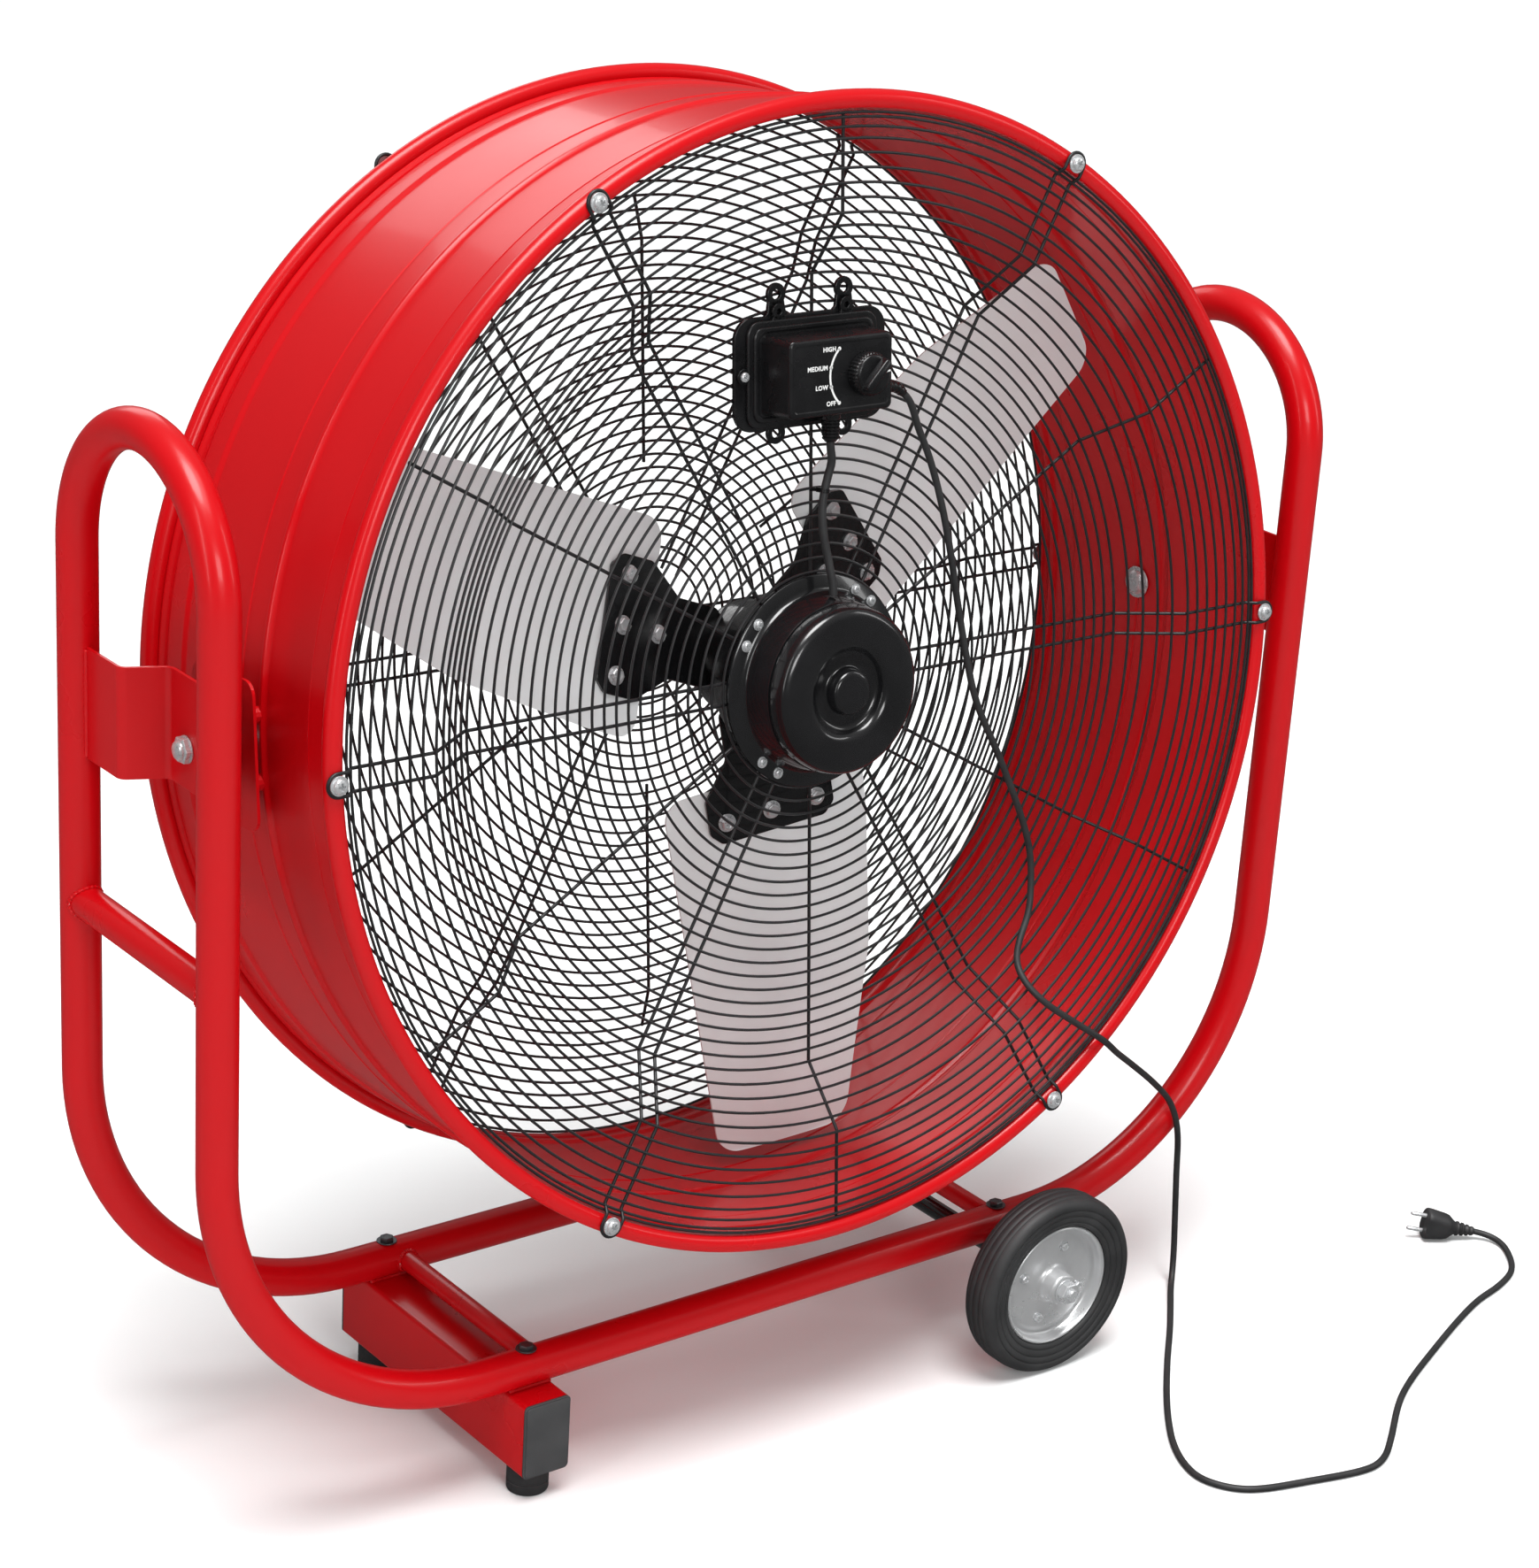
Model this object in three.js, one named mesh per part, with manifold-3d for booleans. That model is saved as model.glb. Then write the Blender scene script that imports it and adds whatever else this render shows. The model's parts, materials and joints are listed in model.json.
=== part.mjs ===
// A drum fan on a wheeled tube frame, in millimetres: +Z up, the control side faces -Y.
// The origin is on the floor under the middle of the frame.
import * as THREE from "three";
import { mergeVertices } from "three/addons/utils/BufferGeometryUtils.js";
import Module from "manifold-3d";

const wasm = await Module();
wasm.setup();

// ---------------------------------------------------------------- driving dimensions
const GAP = 0.3; // air between neighbouring pieces
const DEGREE = Math.PI / 180;

// frame tubes
const TUBE_RADIUS = 19;
const TUBE_WALL = 2;
const LOOP_Y = 130; // each loop's plane from the middle
const BEND_RADIUS = 294; // bottom bends of a loop, to the tube's middle
const HANDLE_ABOVE_PIVOT = 144; // where the handle bends are joined on
const HANDLE_STUB = 20; // straight end of a handle bend
const CROSSBAR_RADIUS = 16;
const CROSSBAR_BELOW_PIVOT = 181;
const CROSS_TUBE_RADIUS = 10;
const FOOT_CROSS_TUBE_INSET = 15; // from the foot beam's middle
const WHEEL_CROSS_TUBE_INSET = 4; // from the axle's middle

// wheels and axle
const WHEEL_RADIUS = 100;
const TYRE_WIDTH = 44;
const RIM_RADIUS = 67;
const RIM_WIDTH = 32;
const RIM_SHEET = 4;
const HUB_RADIUS = 17;
const HUB_LENGTH = 56;
const WHEEL_X = 298;
const WHEEL_Y = 221; // middle of each tyre
const AXLE_RADIUS = 10;
const JOURNAL_RADIUS = 8;
const AXLE_NUT_RADIUS = 13.5;
const AXLE_NUT_LENGTH = 16;
const NUT_CROWN = 4; // closed end of a dome nut

// foot beam, its caps and feet
const FOOT_X = -300;
const BEAM_WIDTH = 52;
const BEAM_HEIGHT = 80;
const BEAM_LENGTH = 338;
const BEAM_WALL = 2.5;
const BEAM_CORNER = 5;
const CAP_THICKNESS = 4;
const CAP_PLUG = 14; // how far a cap's plug reaches into the beam
const FOOT_RADIUS = 21;
const FOOT_INSET = 28; // a foot's middle from the beam's end
const RAIL_BOLT_RADIUS = 4;
const RAIL_BOLT_HEAD = 7.5;
const RAIL_BOLT_HEIGHT = 6;
const RAIL_BOLT_REACH = 9; // past the rail's underside

// drum, measured from the pivot in its own tilted axes
const DRUM_RADIUS = 560; // over the rolled beads
const BEAD_RADIUS = 9;
const WALL = 2;
const FRONT_BEAD_Y = -172;
const REAR_BEAD_Y = 160;
const SWAGE_Y = -40;
const SWAGE_WIDTH = 16;
const SWAGE_HEIGHT = 4;
const REAR_STEP_Y = 105;
const REAR_STEP_HEIGHT = 3;
const DRUM_TILT = -5.5; // about the X axis: the front stands a little higher
const DRUM_LIFT = 67.7; // air between the rails and the drum's lowest rim when level

// pivots
const SIDE_CLEARANCE = 59; // air between the drum's rim and an upright
const BRACKET_SHEET = 3.5;
const BRACKET_ABOVE = 68;
const BRACKET_BELOW = 38;
const BRACKET_FACE_INSET = 41; // the bracket's face from the uprights' plane
const BRACKET_FACE_HALF = 32;
const BRACKET_FACE_REACH = 85; // the face's longer side, towards the other upright
const BRACKET_WING_HALF = 49;
const PIVOT_RADIUS = 8;
const PIVOT_HEAD_RADIUS = 17;
const PIVOT_HEAD_HEIGHT = 8;
const PIVOT_NUT_RADIUS = 13;
const PIVOT_NUT_LENGTH = 12;
const SPACER_RADIUS = 20;
const PLATE_LONG_SIDE = 65; // from the pivot, and the shorter side the other way
const PLATE_SHORT_SIDE = 45;
const PLATE_HEIGHT = 138;
const PLATE_SHEET = 3;
const PLATE_OFF_WALL = 19.5; // from the drum's wall to the plate's inner face
const PLATE_CORNER = 14;
const STANDOFF_RADIUS = 8;
const STANDOFF_INSET = 15; // from the plate's side
const STANDOFF_Z = 31;

// guards
const WIRE = 2.5; // size of a guard wire
const DISH_OUTER = 448; // where the front guard's cone begins
const DISH_INNER = 389;
const GUARD_FRONT_Y = -176;
const GUARD_DISC_Y = -130;
const DISC_RINGS = 2; // between the cone and the motor
const REAR_GUARD_Y = 158;
const REAR_DISH_OUTER = 435;
const REAR_DISH_INNER = 391;
const REAR_DISC_Y = 145;
const REAR_HOLE = 60; // innermost ring of the rear guard
const REAR_RINGS = 2;
const FRONT_BARS = 12;
const REAR_BARS = 6;
const SCREWS = 6;
const TAB_WIDTH = 16;
const TAB_THICKNESS = 2;
const TAB_REACH = 9; // past the screw's middle
const SCREW_RADIUS = 2.5;
const SCREW_HEAD_RADIUS = 9;
const SCREW_HEAD_HEIGHT = 5;
const SCREW_LENGTH = 10;

// motor
const MOTOR_RADIUS = 80;
const MOTOR_WAIST = 88; // at the flange
const FLANGE_RADIUS = 104;
const FLANGE_THICKNESS = 6;
const MOTOR_FRONT_Y = -192;
const MOTOR_SPLIT_Y = -170; // where the end cap meets the housing
const MOTOR_BACK_Y = -75;
const CAP_GROOVE = 46;
const CAP_GROOVE_WIDTH = 7;
const CAP_GROOVE_DEPTH = 5;
const CAP_BUTTON = 22;
const CAP_BUTTON_HEIGHT = 3.5;
const SHAFT_RADIUS = 8;
const SHAFT_DEPTH = 55; // how far the shaft runs into the motor

// rotor
const ROTOR_HUB_RADIUS = 58;
const ROTOR_HUB_FRONT_Y = -73;
const ROTOR_HUB_BACK_Y = -10;
const TIP_CLEARANCE = 17;
const BLADES = 3;
const FIRST_BLADE = 40; // degrees, anticlockwise seen from the control side
const BLADE_SHEET = 2;
const BLADE_ROOT = 125;
const BLADE_REAR_EDGE = -108;
const ROOT_TWIST = 13;
const TIP_TWIST = 10.3;
const BLADE_STATIONS = 5;
const BLADE_STRIPS = 3;
// the front edge across the blade, at shares of the way from the root to the tip
const BLADE_FRONT_EDGE = [
  [0, 103],
  [0.15, 101],
  [0.54, 86],
  [0.8, 57],
  [1, 35],
];
const ARM_SHEET = 4;
const ARM_OUTER = 182;
const ARM_HALF = 68;
const ARM_WAIST_HALF = 40;
const ARM_BOLT_RADIUS = 8;
const ARM_BOLT_HEIGHT = 5;
const ARM_BOLT_U = 160;
const ARM_BOLT_SPREAD = 49;
const ARM_INNER_BOLT_U = 117;

// control box on the front guard's disc
const BOX_X = -7.5;
const BOX_Z = 301;
const BASE_SHEET = 4.5;
const BASE_HALF_WIDTH = 88;
const BASE_HALF_HEIGHT = 53;
const BASE_CORNER = 20;
const EAR_X = 39.5; // from the box's middle
const EAR_WIDTH = 21;
const EAR_TOP = 83;
const EAR_BOTTOM = 67;
const EAR_HOLE_RADIUS = 4;
const EAR_HOLE_INSET = 9;
const LID_SHEET = 4;
const LID_HALF_WIDTH = 76;
const LID_HALF_HEIGHT = 50;
const LID_CORNER = 14;
const HOUSING_HALF_WIDTH = 60;
const HOUSING_HALF_HEIGHT = 36.5;
const HOUSING_CORNER = 6;
const HOUSING_RISE = 43;
const BOX_WALL = 3;
const KNOB_X = 27.5; // from the box's middle
const KNOB_RADIUS = 21;
const KNOB_HEIGHT = 14;
const KNOB_GRIP_HEIGHT = 8;
const KNOB_GRIP_WIDTH = 9;
const KNOB_STEM_RADIUS = 4;
const KNOB_STEM_LENGTH = 14;
const GLAND_X = 2;
const GLAND_RADIUS = 9.5;
const GLAND_LENGTH = 30;
const COLLAR_RADIUS = 8;
const COLLAR_LENGTH = 8;
const SLEEVE_RADIUS = 5.5;

// cords
const CORD_RADIUS = 3.5;
const MOTOR_CABLE_RADIUS = 4;
const CORD_SIDES = 8;

// facets
const TUBE_SIDES = 12;
const BEND_STEPS = 7;
const ROUND_SIDES = 36;
const WHEEL_SIDES = 24;
const ROD_SIDES = 12;
const HOLE_SIDES = 20;
const MOTOR_SIDES = 24;
const SCREW_SIDES = 12;
const GUARD_SIDES = 24;
const BEAD_SIDES = 6;

// ---------------------------------------------------------------- derived places
const UPRIGHT_X = DRUM_RADIUS + SIDE_CLEARANCE + TUBE_RADIUS;
const RAIL_Z = WHEEL_RADIUS + AXLE_RADIUS + GAP + TUBE_RADIUS;
const PIVOT_Z = RAIL_Z + TUBE_RADIUS + DRUM_LIFT + DRUM_RADIUS;
const HANDLE_JOIN_Z = PIVOT_Z + HANDLE_ABOVE_PIVOT;
const BEAM_TOP = RAIL_Z - TUBE_RADIUS - GAP;
const BEAD_RING = DRUM_RADIUS - BEAD_RADIUS;
const WALL_INNER = BEAD_RING - BEAD_RADIUS;
const WALL_OUTER = WALL_INNER + WALL;
const GUARD_RIM = WALL_INNER - WIRE - GAP;
const BRACKET_FACE_X = UPRIGHT_X - BRACKET_FACE_INSET;
const PLATE_INNER_X = WALL_OUTER + PLATE_OFF_WALL;
const PLATE_OUTER_X = PLATE_INNER_X + PLATE_SHEET;
const BRACKET_INNER_X = BRACKET_FACE_X - BRACKET_SHEET / 2;
const BRACKET_OUTER_X = BRACKET_FACE_X + BRACKET_SHEET / 2;
const ROTOR_RADIUS = WALL_INNER - TIP_CLEARANCE;
const FLANGE_BACK_Y = GUARD_DISC_Y - WIRE / 2 - GAP;
const FLANGE_FRONT_Y = FLANGE_BACK_Y - FLANGE_THICKNESS;
const BOX_BACK_Y = GUARD_DISC_Y - WIRE / 2 - GAP;
const LID_BACK_Y = BOX_BACK_Y - BASE_SHEET - GAP;
const HOUSING_FRONT_Y = LID_BACK_Y - LID_SHEET - HOUSING_RISE;
const EXIT_X = BOX_X + HOUSING_HALF_WIDTH + GAP; // where the power cord leaves the housing
const EXIT_Y = HOUSING_FRONT_Y + 29;
const EXIT_Z = BOX_Z - 20;

// ---------------------------------------------------------------- materials
const finish = (color, roughness, metalness) =>
  new THREE.MeshStandardMaterial({ color, roughness, metalness });
const redPaint = finish(0xd3111b, 0.3, 0.1);
const blackPaint = finish(0x1c1c1e, 0.5, 0.1);
const darkWire = finish(0x3a3b3e, 0.45, 0.4);
const blackPlastic = finish(0x1a1a1b, 0.6, 0);
const rubber = finish(0x2b2b2c, 0.85, 0);
const zinc = finish(0xc3c6c8, 0.35, 0.9);
const bladeSheet = finish(0xa9abac, 0.4, 0.6);

// ---------------------------------------------------------------- shaping helpers
const at = (x, y, z) => new THREE.Vector3(x, y, z);
const X = at(1, 0, 0);
const Y = at(0, 1, 0);
const Z = at(0, 0, 1);
// drawn in X and Z, with its thickness towards the front
const TO_FRONT = new THREE.Matrix4().makeBasis(X, Z, at(0, -1, 0));
// drawn in Y and Z, with its thickness towards +X
const TO_SIDE = new THREE.Matrix4().makeBasis(Y, Z, X);

function toSolid(geometry) {
  const plain = geometry.clone();
  plain.deleteAttribute("normal");
  plain.deleteAttribute("uv");
  const merged = mergeVertices(plain, 1e-3);
  return new wasm.Manifold(
    new wasm.Mesh({
      numProp: 3,
      vertProperties: merged.attributes.position.array,
      triVerts: new Uint32Array(merged.index.array),
    }),
  );
}

function toGeometry(solid) {
  const mesh = solid.getMesh();
  const geometry = new THREE.BufferGeometry();
  geometry.setAttribute("position", new THREE.BufferAttribute(mesh.vertProperties, 3));
  geometry.setIndex(new THREE.BufferAttribute(mesh.triVerts, 1));
  geometry.computeVertexNormals();
  return geometry;
}

const joined = (...pieces) =>
  toGeometry(pieces.map(toSolid).reduce((whole, next) => whole.add(next)));

const cut = (body, ...tools) =>
  toGeometry(tools.map(toSolid).reduce((left, tool) => left.subtract(tool), toSolid(body)));

// A closed outline of [radius, along] points, turned about the Y axis.
function turned(outline, sides) {
  const points = outline.map(([radius, along]) => new THREE.Vector2(radius, along));
  if (THREE.ShapeUtils.area(points) < 0) points.reverse();
  points.push(points[0].clone());
  return new THREE.LatheGeometry(points, sides);
}

function rod(from, to, radius, sides = ROD_SIDES) {
  const along = to.clone().sub(from);
  const turn = new THREE.Quaternion().setFromUnitVectors(Y, along.clone().normalize());
  const middle = from.clone().add(to).multiplyScalar(0.5);
  return new THREE.CylinderGeometry(radius, radius, along.length(), sides)
    .applyQuaternion(turn)
    .translate(middle.x, middle.y, middle.z);
}

function block(low, high) {
  const size = high.clone().sub(low);
  const middle = low.clone().add(high).multiplyScalar(0.5);
  return new THREE.BoxGeometry(size.x, size.y, size.z).translate(middle.x, middle.y, middle.z);
}

const around = (count) => Array.from({ length: count }, (_, i) => (i * 360 * DEGREE) / count);

const circlePoints = (radius, sides) =>
  around(sides).map(
    (angle) => new THREE.Vector2(radius * Math.cos(angle), radius * Math.sin(angle)),
  );

function roundedRectangle(halfWidth, halfHeight, corner) {
  const shape = new THREE.Shape();
  const [inX, inY] = [halfWidth - corner, halfHeight - corner];
  shape.absarc(inX, inY, corner, 0, 90 * DEGREE);
  shape.absarc(-inX, inY, corner, 90 * DEGREE, 180 * DEGREE);
  shape.absarc(-inX, -inY, corner, 180 * DEGREE, 270 * DEGREE);
  shape.absarc(inX, -inY, corner, 270 * DEGREE, 360 * DEGREE);
  return shape;
}

const raised = (shape, depth, curveSegments = 3) =>
  new THREE.ExtrudeGeometry(shape, { depth, bevelEnabled: false, curveSegments });

// A path with a ring at each of its points and nowhere else.
class BentPath extends THREE.Curve {
  constructor(points) {
    super();
    this.points = points;
    this.steps = points.length - 1;
  }

  getPointAt(share) {
    return this.points[Math.round(share * this.steps)].clone();
  }

  getTangentAt(share) {
    const i = Math.round(share * this.steps);
    const here = this.points[i];
    const before = i > 0 ? here.clone().sub(this.points[i - 1]).normalize() : at(0, 0, 0);
    const after = i < this.steps ? this.points[i + 1].clone().sub(here).normalize() : at(0, 0, 0);
    return before.add(after).normalize();
  }
}

// A tube along a list of points; with no wall it is solid.
function tube(points, radius, wall = 0, sides = TUBE_SIDES) {
  const path = new BentPath(points);
  const section = new THREE.Shape(circlePoints(radius, sides));
  if (wall) section.holes.push(new THREE.Path(circlePoints(radius - wall, sides)));
  return new THREE.ExtrudeGeometry(section, { steps: path.steps, extrudePath: path });
}

function arcPoints(steps, from, to, place) {
  return Array.from({ length: steps + 1 }, (_, i) => place(from + ((to - from) * i) / steps));
}

// A bent strip of sheet in plan, with mitred corners.
function stripShape(line, thickness) {
  const points = line.map(([x, y]) => new THREE.Vector2(x, y));
  const normalOf = (a, b) => {
    const along = b.clone().sub(a).normalize();
    return new THREE.Vector2(-along.y, along.x);
  };
  const offsets = points.map((point, i) => {
    const before = i > 0 ? normalOf(points[i - 1], point) : null;
    const after = i < points.length - 1 ? normalOf(point, points[i + 1]) : null;
    if (!before || !after) return (before || after).clone().multiplyScalar(thickness / 2);
    const middle = before.clone().add(after).normalize();
    return middle.multiplyScalar(thickness / 2 / middle.dot(before));
  });
  const near = points.map((point, i) => point.clone().add(offsets[i]));
  const far = points.map((point, i) => point.clone().sub(offsets[i]));
  return new THREE.Shape([...near, ...far.reverse()]);
}

function piece(name, geometry, material) {
  const mesh = new THREE.Mesh(geometry, material);
  mesh.name = name;
  return mesh;
}

const sides = [
  ["left", -1],
  ["right", 1],
];
const ends = [
  ["front", -1],
  ["rear", 1],
];

// ---------------------------------------------------------------- frame
// One loop: down an upright, round both bottom bends and up the other, with bolt holes.
function loop(y) {
  const bendX = UPRIGHT_X - BEND_RADIUS;
  const bendZ = RAIL_Z + BEND_RADIUS;
  const bend = (side, from, to) =>
    arcPoints(BEND_STEPS, from * DEGREE, to * DEGREE, (angle) =>
      at(side * bendX + BEND_RADIUS * Math.cos(angle), y, bendZ + BEND_RADIUS * Math.sin(angle)),
    );
  const top = HANDLE_JOIN_Z - GAP;
  const points = [
    at(-UPRIGHT_X, y, top),
    ...bend(-1, 180, 270),
    ...bend(1, 270, 360),
    at(UPRIGHT_X, y, top),
  ];
  const holes = [FOOT_X, WHEEL_X].map((x) => railHole(x, y, RAIL_Z - 2 * TUBE_RADIUS));
  return cut(tube(points, TUBE_RADIUS, TUBE_WALL), ...holes);
}

const railHole = (x, y, bottom) =>
  rod(at(x, y, bottom), at(x, y, RAIL_Z + 2 * TUBE_RADIUS), RAIL_BOLT_RADIUS + GAP, HOLE_SIDES);

function handle(x) {
  const bendZ = HANDLE_JOIN_Z + HANDLE_STUB;
  const bend = arcPoints(BEND_STEPS + 3, Math.PI, 0, (angle) =>
    at(x, LOOP_Y * Math.cos(angle), bendZ + LOOP_Y * Math.sin(angle)),
  );
  const points = [at(x, -LOOP_Y, HANDLE_JOIN_Z), ...bend, at(x, LOOP_Y, HANDLE_JOIN_Z)];
  return tube(points, TUBE_RADIUS, TUBE_WALL);
}

// A tube across from loop to loop, its ends shaped to the tubes that it meets.
function crossTube(x, z, radius, along) {
  const bar = tube([at(x, -LOOP_Y, z), at(x, LOOP_Y, z)], radius, TUBE_WALL);
  const reach = along.clone().multiplyScalar(3 * radius);
  const seats = [-LOOP_Y, LOOP_Y].map((y) => {
    const middle = at(x, y, z);
    const [from, to] = [middle.clone().sub(reach), middle.clone().add(reach)];
    return rod(from, to, TUBE_RADIUS + GAP, HOLE_SIDES);
  });
  return cut(bar, ...seats);
}

function railBolt() {
  const underHead = TUBE_RADIUS + GAP;
  const shankEnd = -TUBE_RADIUS - RAIL_BOLT_REACH;
  const head = rod(at(0, 0, underHead), at(0, 0, underHead + RAIL_BOLT_HEIGHT), RAIL_BOLT_HEAD, 6);
  const shank = rod(at(0, 0, shankEnd), at(0, 0, underHead + 1), RAIL_BOLT_RADIUS);
  return joined(head, shank);
}

function addFrame(frame) {
  for (const [end, side] of ends) {
    frame.add(piece(`${end}_loop`, loop(side * LOOP_Y), redPaint));
    for (const [station, x] of [["foot", FOOT_X], ["wheel", WHEEL_X]]) {
      const bolt = piece(`${station}_bolt_${end}`, railBolt(), zinc);
      bolt.position.set(x, side * LOOP_Y, RAIL_Z);
      frame.add(bolt);
    }
  }
  for (const [name, side] of sides)
    frame.add(piece(`${name}_handle`, handle(side * UPRIGHT_X), redPaint));
  const crossbarZ = PIVOT_Z - CROSSBAR_BELOW_PIVOT;
  const footTubeX = FOOT_X + FOOT_CROSS_TUBE_INSET;
  const wheelTubeX = WHEEL_X + WHEEL_CROSS_TUBE_INSET;
  const crossbar = crossTube(-UPRIGHT_X, crossbarZ, CROSSBAR_RADIUS, Z);
  const footTube = crossTube(footTubeX, RAIL_Z, CROSS_TUBE_RADIUS, X);
  const wheelTube = crossTube(wheelTubeX, RAIL_Z, CROSS_TUBE_RADIUS, X);
  frame.add(piece("left_crossbar", crossbar, redPaint));
  frame.add(piece("foot_cross_tube", footTube, redPaint));
  frame.add(piece("wheel_cross_tube", wheelTube, redPaint));
}

// ---------------------------------------------------------------- foot beam
function footBeam() {
  const shape = roundedRectangle(BEAM_WIDTH / 2, BEAM_HEIGHT / 2, BEAM_CORNER);
  const hollow = roundedRectangle(
    BEAM_WIDTH / 2 - BEAM_WALL,
    BEAM_HEIGHT / 2 - BEAM_WALL,
    BEAM_CORNER - BEAM_WALL,
  );
  shape.holes.push(hollow);
  const beam = raised(shape, BEAM_LENGTH, 2).applyMatrix4(TO_FRONT);
  beam.translate(FOOT_X, BEAM_LENGTH / 2, BEAM_TOP - BEAM_HEIGHT / 2);
  const holes = [-LOOP_Y, LOOP_Y].map((y) => railHole(FOOT_X, y, BEAM_TOP - BEAM_HEIGHT / 2));
  return cut(beam, ...holes);
}

// An end cap, drawn with its face towards -Y and its plug behind it.
function beamCap() {
  const [halfWidth, halfHeight] = [BEAM_WIDTH / 2, BEAM_HEIGHT / 2];
  const slack = BEAM_WALL + GAP;
  const face = raised(roundedRectangle(halfWidth, halfHeight, BEAM_CORNER), CAP_THICKNESS, 2);
  const plugShape = roundedRectangle(halfWidth - slack, halfHeight - slack, BEAM_CORNER - slack);
  const plug = raised(plugShape, CAP_PLUG + 1, 1).translate(0, 0, -CAP_PLUG);
  return joined(face, plug).applyMatrix4(TO_FRONT);
}

function addFoot(frame) {
  const beamMiddle = BEAM_TOP - BEAM_HEIGHT / 2;
  const footHeight = BEAM_TOP - BEAM_HEIGHT - GAP;
  const footOutline = [
    [0, 0],
    [FOOT_RADIUS - 2, 0],
    [FOOT_RADIUS, 3],
    [FOOT_RADIUS, footHeight],
    [0, footHeight],
  ];
  frame.add(piece("foot_beam", footBeam(), redPaint));
  for (const [end, side] of ends) {
    const cap = piece(`beam_cap_${end}`, beamCap(), blackPlastic);
    cap.position.set(FOOT_X, side * (BEAM_LENGTH / 2 + GAP), beamMiddle);
    cap.rotation.z = side < 0 ? 0 : Math.PI;
    const foot = piece(`rubber_foot_${end}`, turned(footOutline, HOLE_SIDES), rubber);
    foot.position.set(FOOT_X, side * (BEAM_LENGTH / 2 - FOOT_INSET), 0);
    foot.rotation.x = 90 * DEGREE;
    frame.add(cap, foot);
  }
}

// ---------------------------------------------------------------- axle and wheels
const SHOULDER_Y = WHEEL_Y - HUB_LENGTH / 2 - GAP;
const NUT_Y = WHEEL_Y + HUB_LENGTH / 2 + GAP;

function axle() {
  const end = NUT_Y + AXLE_NUT_LENGTH - NUT_CROWN - GAP;
  const outline = [
    [0, -end],
    [JOURNAL_RADIUS, -end],
    [JOURNAL_RADIUS, -SHOULDER_Y],
    [AXLE_RADIUS, -SHOULDER_Y],
    [AXLE_RADIUS, SHOULDER_Y],
    [JOURNAL_RADIUS, SHOULDER_Y],
    [JOURNAL_RADIUS, end],
    [0, end],
  ];
  const bar = turned(outline, ROD_SIDES).translate(WHEEL_X, 0, WHEEL_RADIUS);
  const holes = [-LOOP_Y, LOOP_Y].map((y) => railHole(WHEEL_X, y, WHEEL_RADIUS));
  return cut(bar, ...holes);
}

// A dome nut on the Y axis, from its seat at 0 out along +Y, over a rod of the given radius.
function domeNut(radius, length, rodRadius, facets) {
  const bore = rodRadius + GAP;
  const outline = [
    [bore, 0],
    [radius, 0],
    [radius, length - 5],
    [radius * 0.7, length - 1],
    [0, length],
    [0, length - NUT_CROWN],
    [bore, length - NUT_CROWN],
  ];
  return turned(outline, facets);
}

function tyre() {
  const half = TYRE_WIDTH / 2;
  const bore = RIM_RADIUS + GAP;
  const wall = WHEEL_RADIUS - bore;
  const edge = [
    [bore, half - 6],
    [bore + 0.2 * wall, half - 1],
    [bore + 0.65 * wall, half],
    [bore + 0.9 * wall, half - 3],
    [WHEEL_RADIUS, half - 9],
  ];
  const mirrored = edge.map(([radius, along]) => [radius, -along]).reverse();
  return turned([...edge, ...mirrored], WHEEL_SIDES);
}

function rim() {
  const [halfRim, halfHub, halfSheet] = [RIM_WIDTH / 2, HUB_LENGTH / 2, RIM_SHEET / 2];
  const band = RIM_RADIUS - RIM_SHEET;
  const bore = JOURNAL_RADIUS + GAP;
  const side = [
    [bore, halfHub],
    [HUB_RADIUS, halfHub],
    [HUB_RADIUS, halfSheet],
    [band, halfSheet],
    [band, halfRim],
    [RIM_RADIUS, halfRim],
  ];
  const mirrored = side.map(([radius, along]) => [radius, -along]).reverse();
  return turned([...side, ...mirrored], WHEEL_SIDES);
}

function addWheels(frame) {
  frame.add(piece("axle", axle(), blackPaint));
  for (const [end, side] of ends) {
    const wheel = new THREE.Group();
    wheel.position.set(WHEEL_X, side * WHEEL_Y, WHEEL_RADIUS);
    wheel.add(piece(`${end}_tyre`, tyre(), rubber));
    wheel.add(piece(`${end}_rim`, rim(), zinc));
    const nut = domeNut(AXLE_NUT_RADIUS, AXLE_NUT_LENGTH, JOURNAL_RADIUS, ROD_SIDES);
    const nutPiece = piece(`${end}_axle_nut`, nut, zinc);
    nutPiece.position.set(WHEEL_X, side * NUT_Y, WHEEL_RADIUS);
    nutPiece.rotation.z = side < 0 ? Math.PI : 0;
    frame.add(wheel, nutPiece);
  }
}

// ---------------------------------------------------------------- pivots
// Each pivot is drawn for the right side and turned half round for the left.
const pivotHole = (from, to) => rod(at(from, 0, 0), at(to, 0, 0), PIVOT_RADIUS + GAP, HOLE_SIDES);

function pivotBracket() {
  const offTube = TUBE_RADIUS + GAP;
  const toUpright = new THREE.Vector2(BRACKET_FACE_INSET, LOOP_Y - BRACKET_FACE_REACH).normalize();
  const line = [
    [UPRIGHT_X, offTube - LOOP_Y],
    [UPRIGHT_X, -BRACKET_WING_HALF],
    [BRACKET_FACE_X, -BRACKET_FACE_HALF],
    [BRACKET_FACE_X, BRACKET_FACE_REACH],
    [UPRIGHT_X - offTube * toUpright.x, LOOP_Y - offTube * toUpright.y],
  ];
  const sheet = raised(stripShape(line, BRACKET_SHEET), BRACKET_ABOVE + BRACKET_BELOW);
  return cut(sheet.translate(0, 0, -BRACKET_BELOW), pivotHole(PLATE_OUTER_X, UPRIGHT_X));
}

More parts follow.
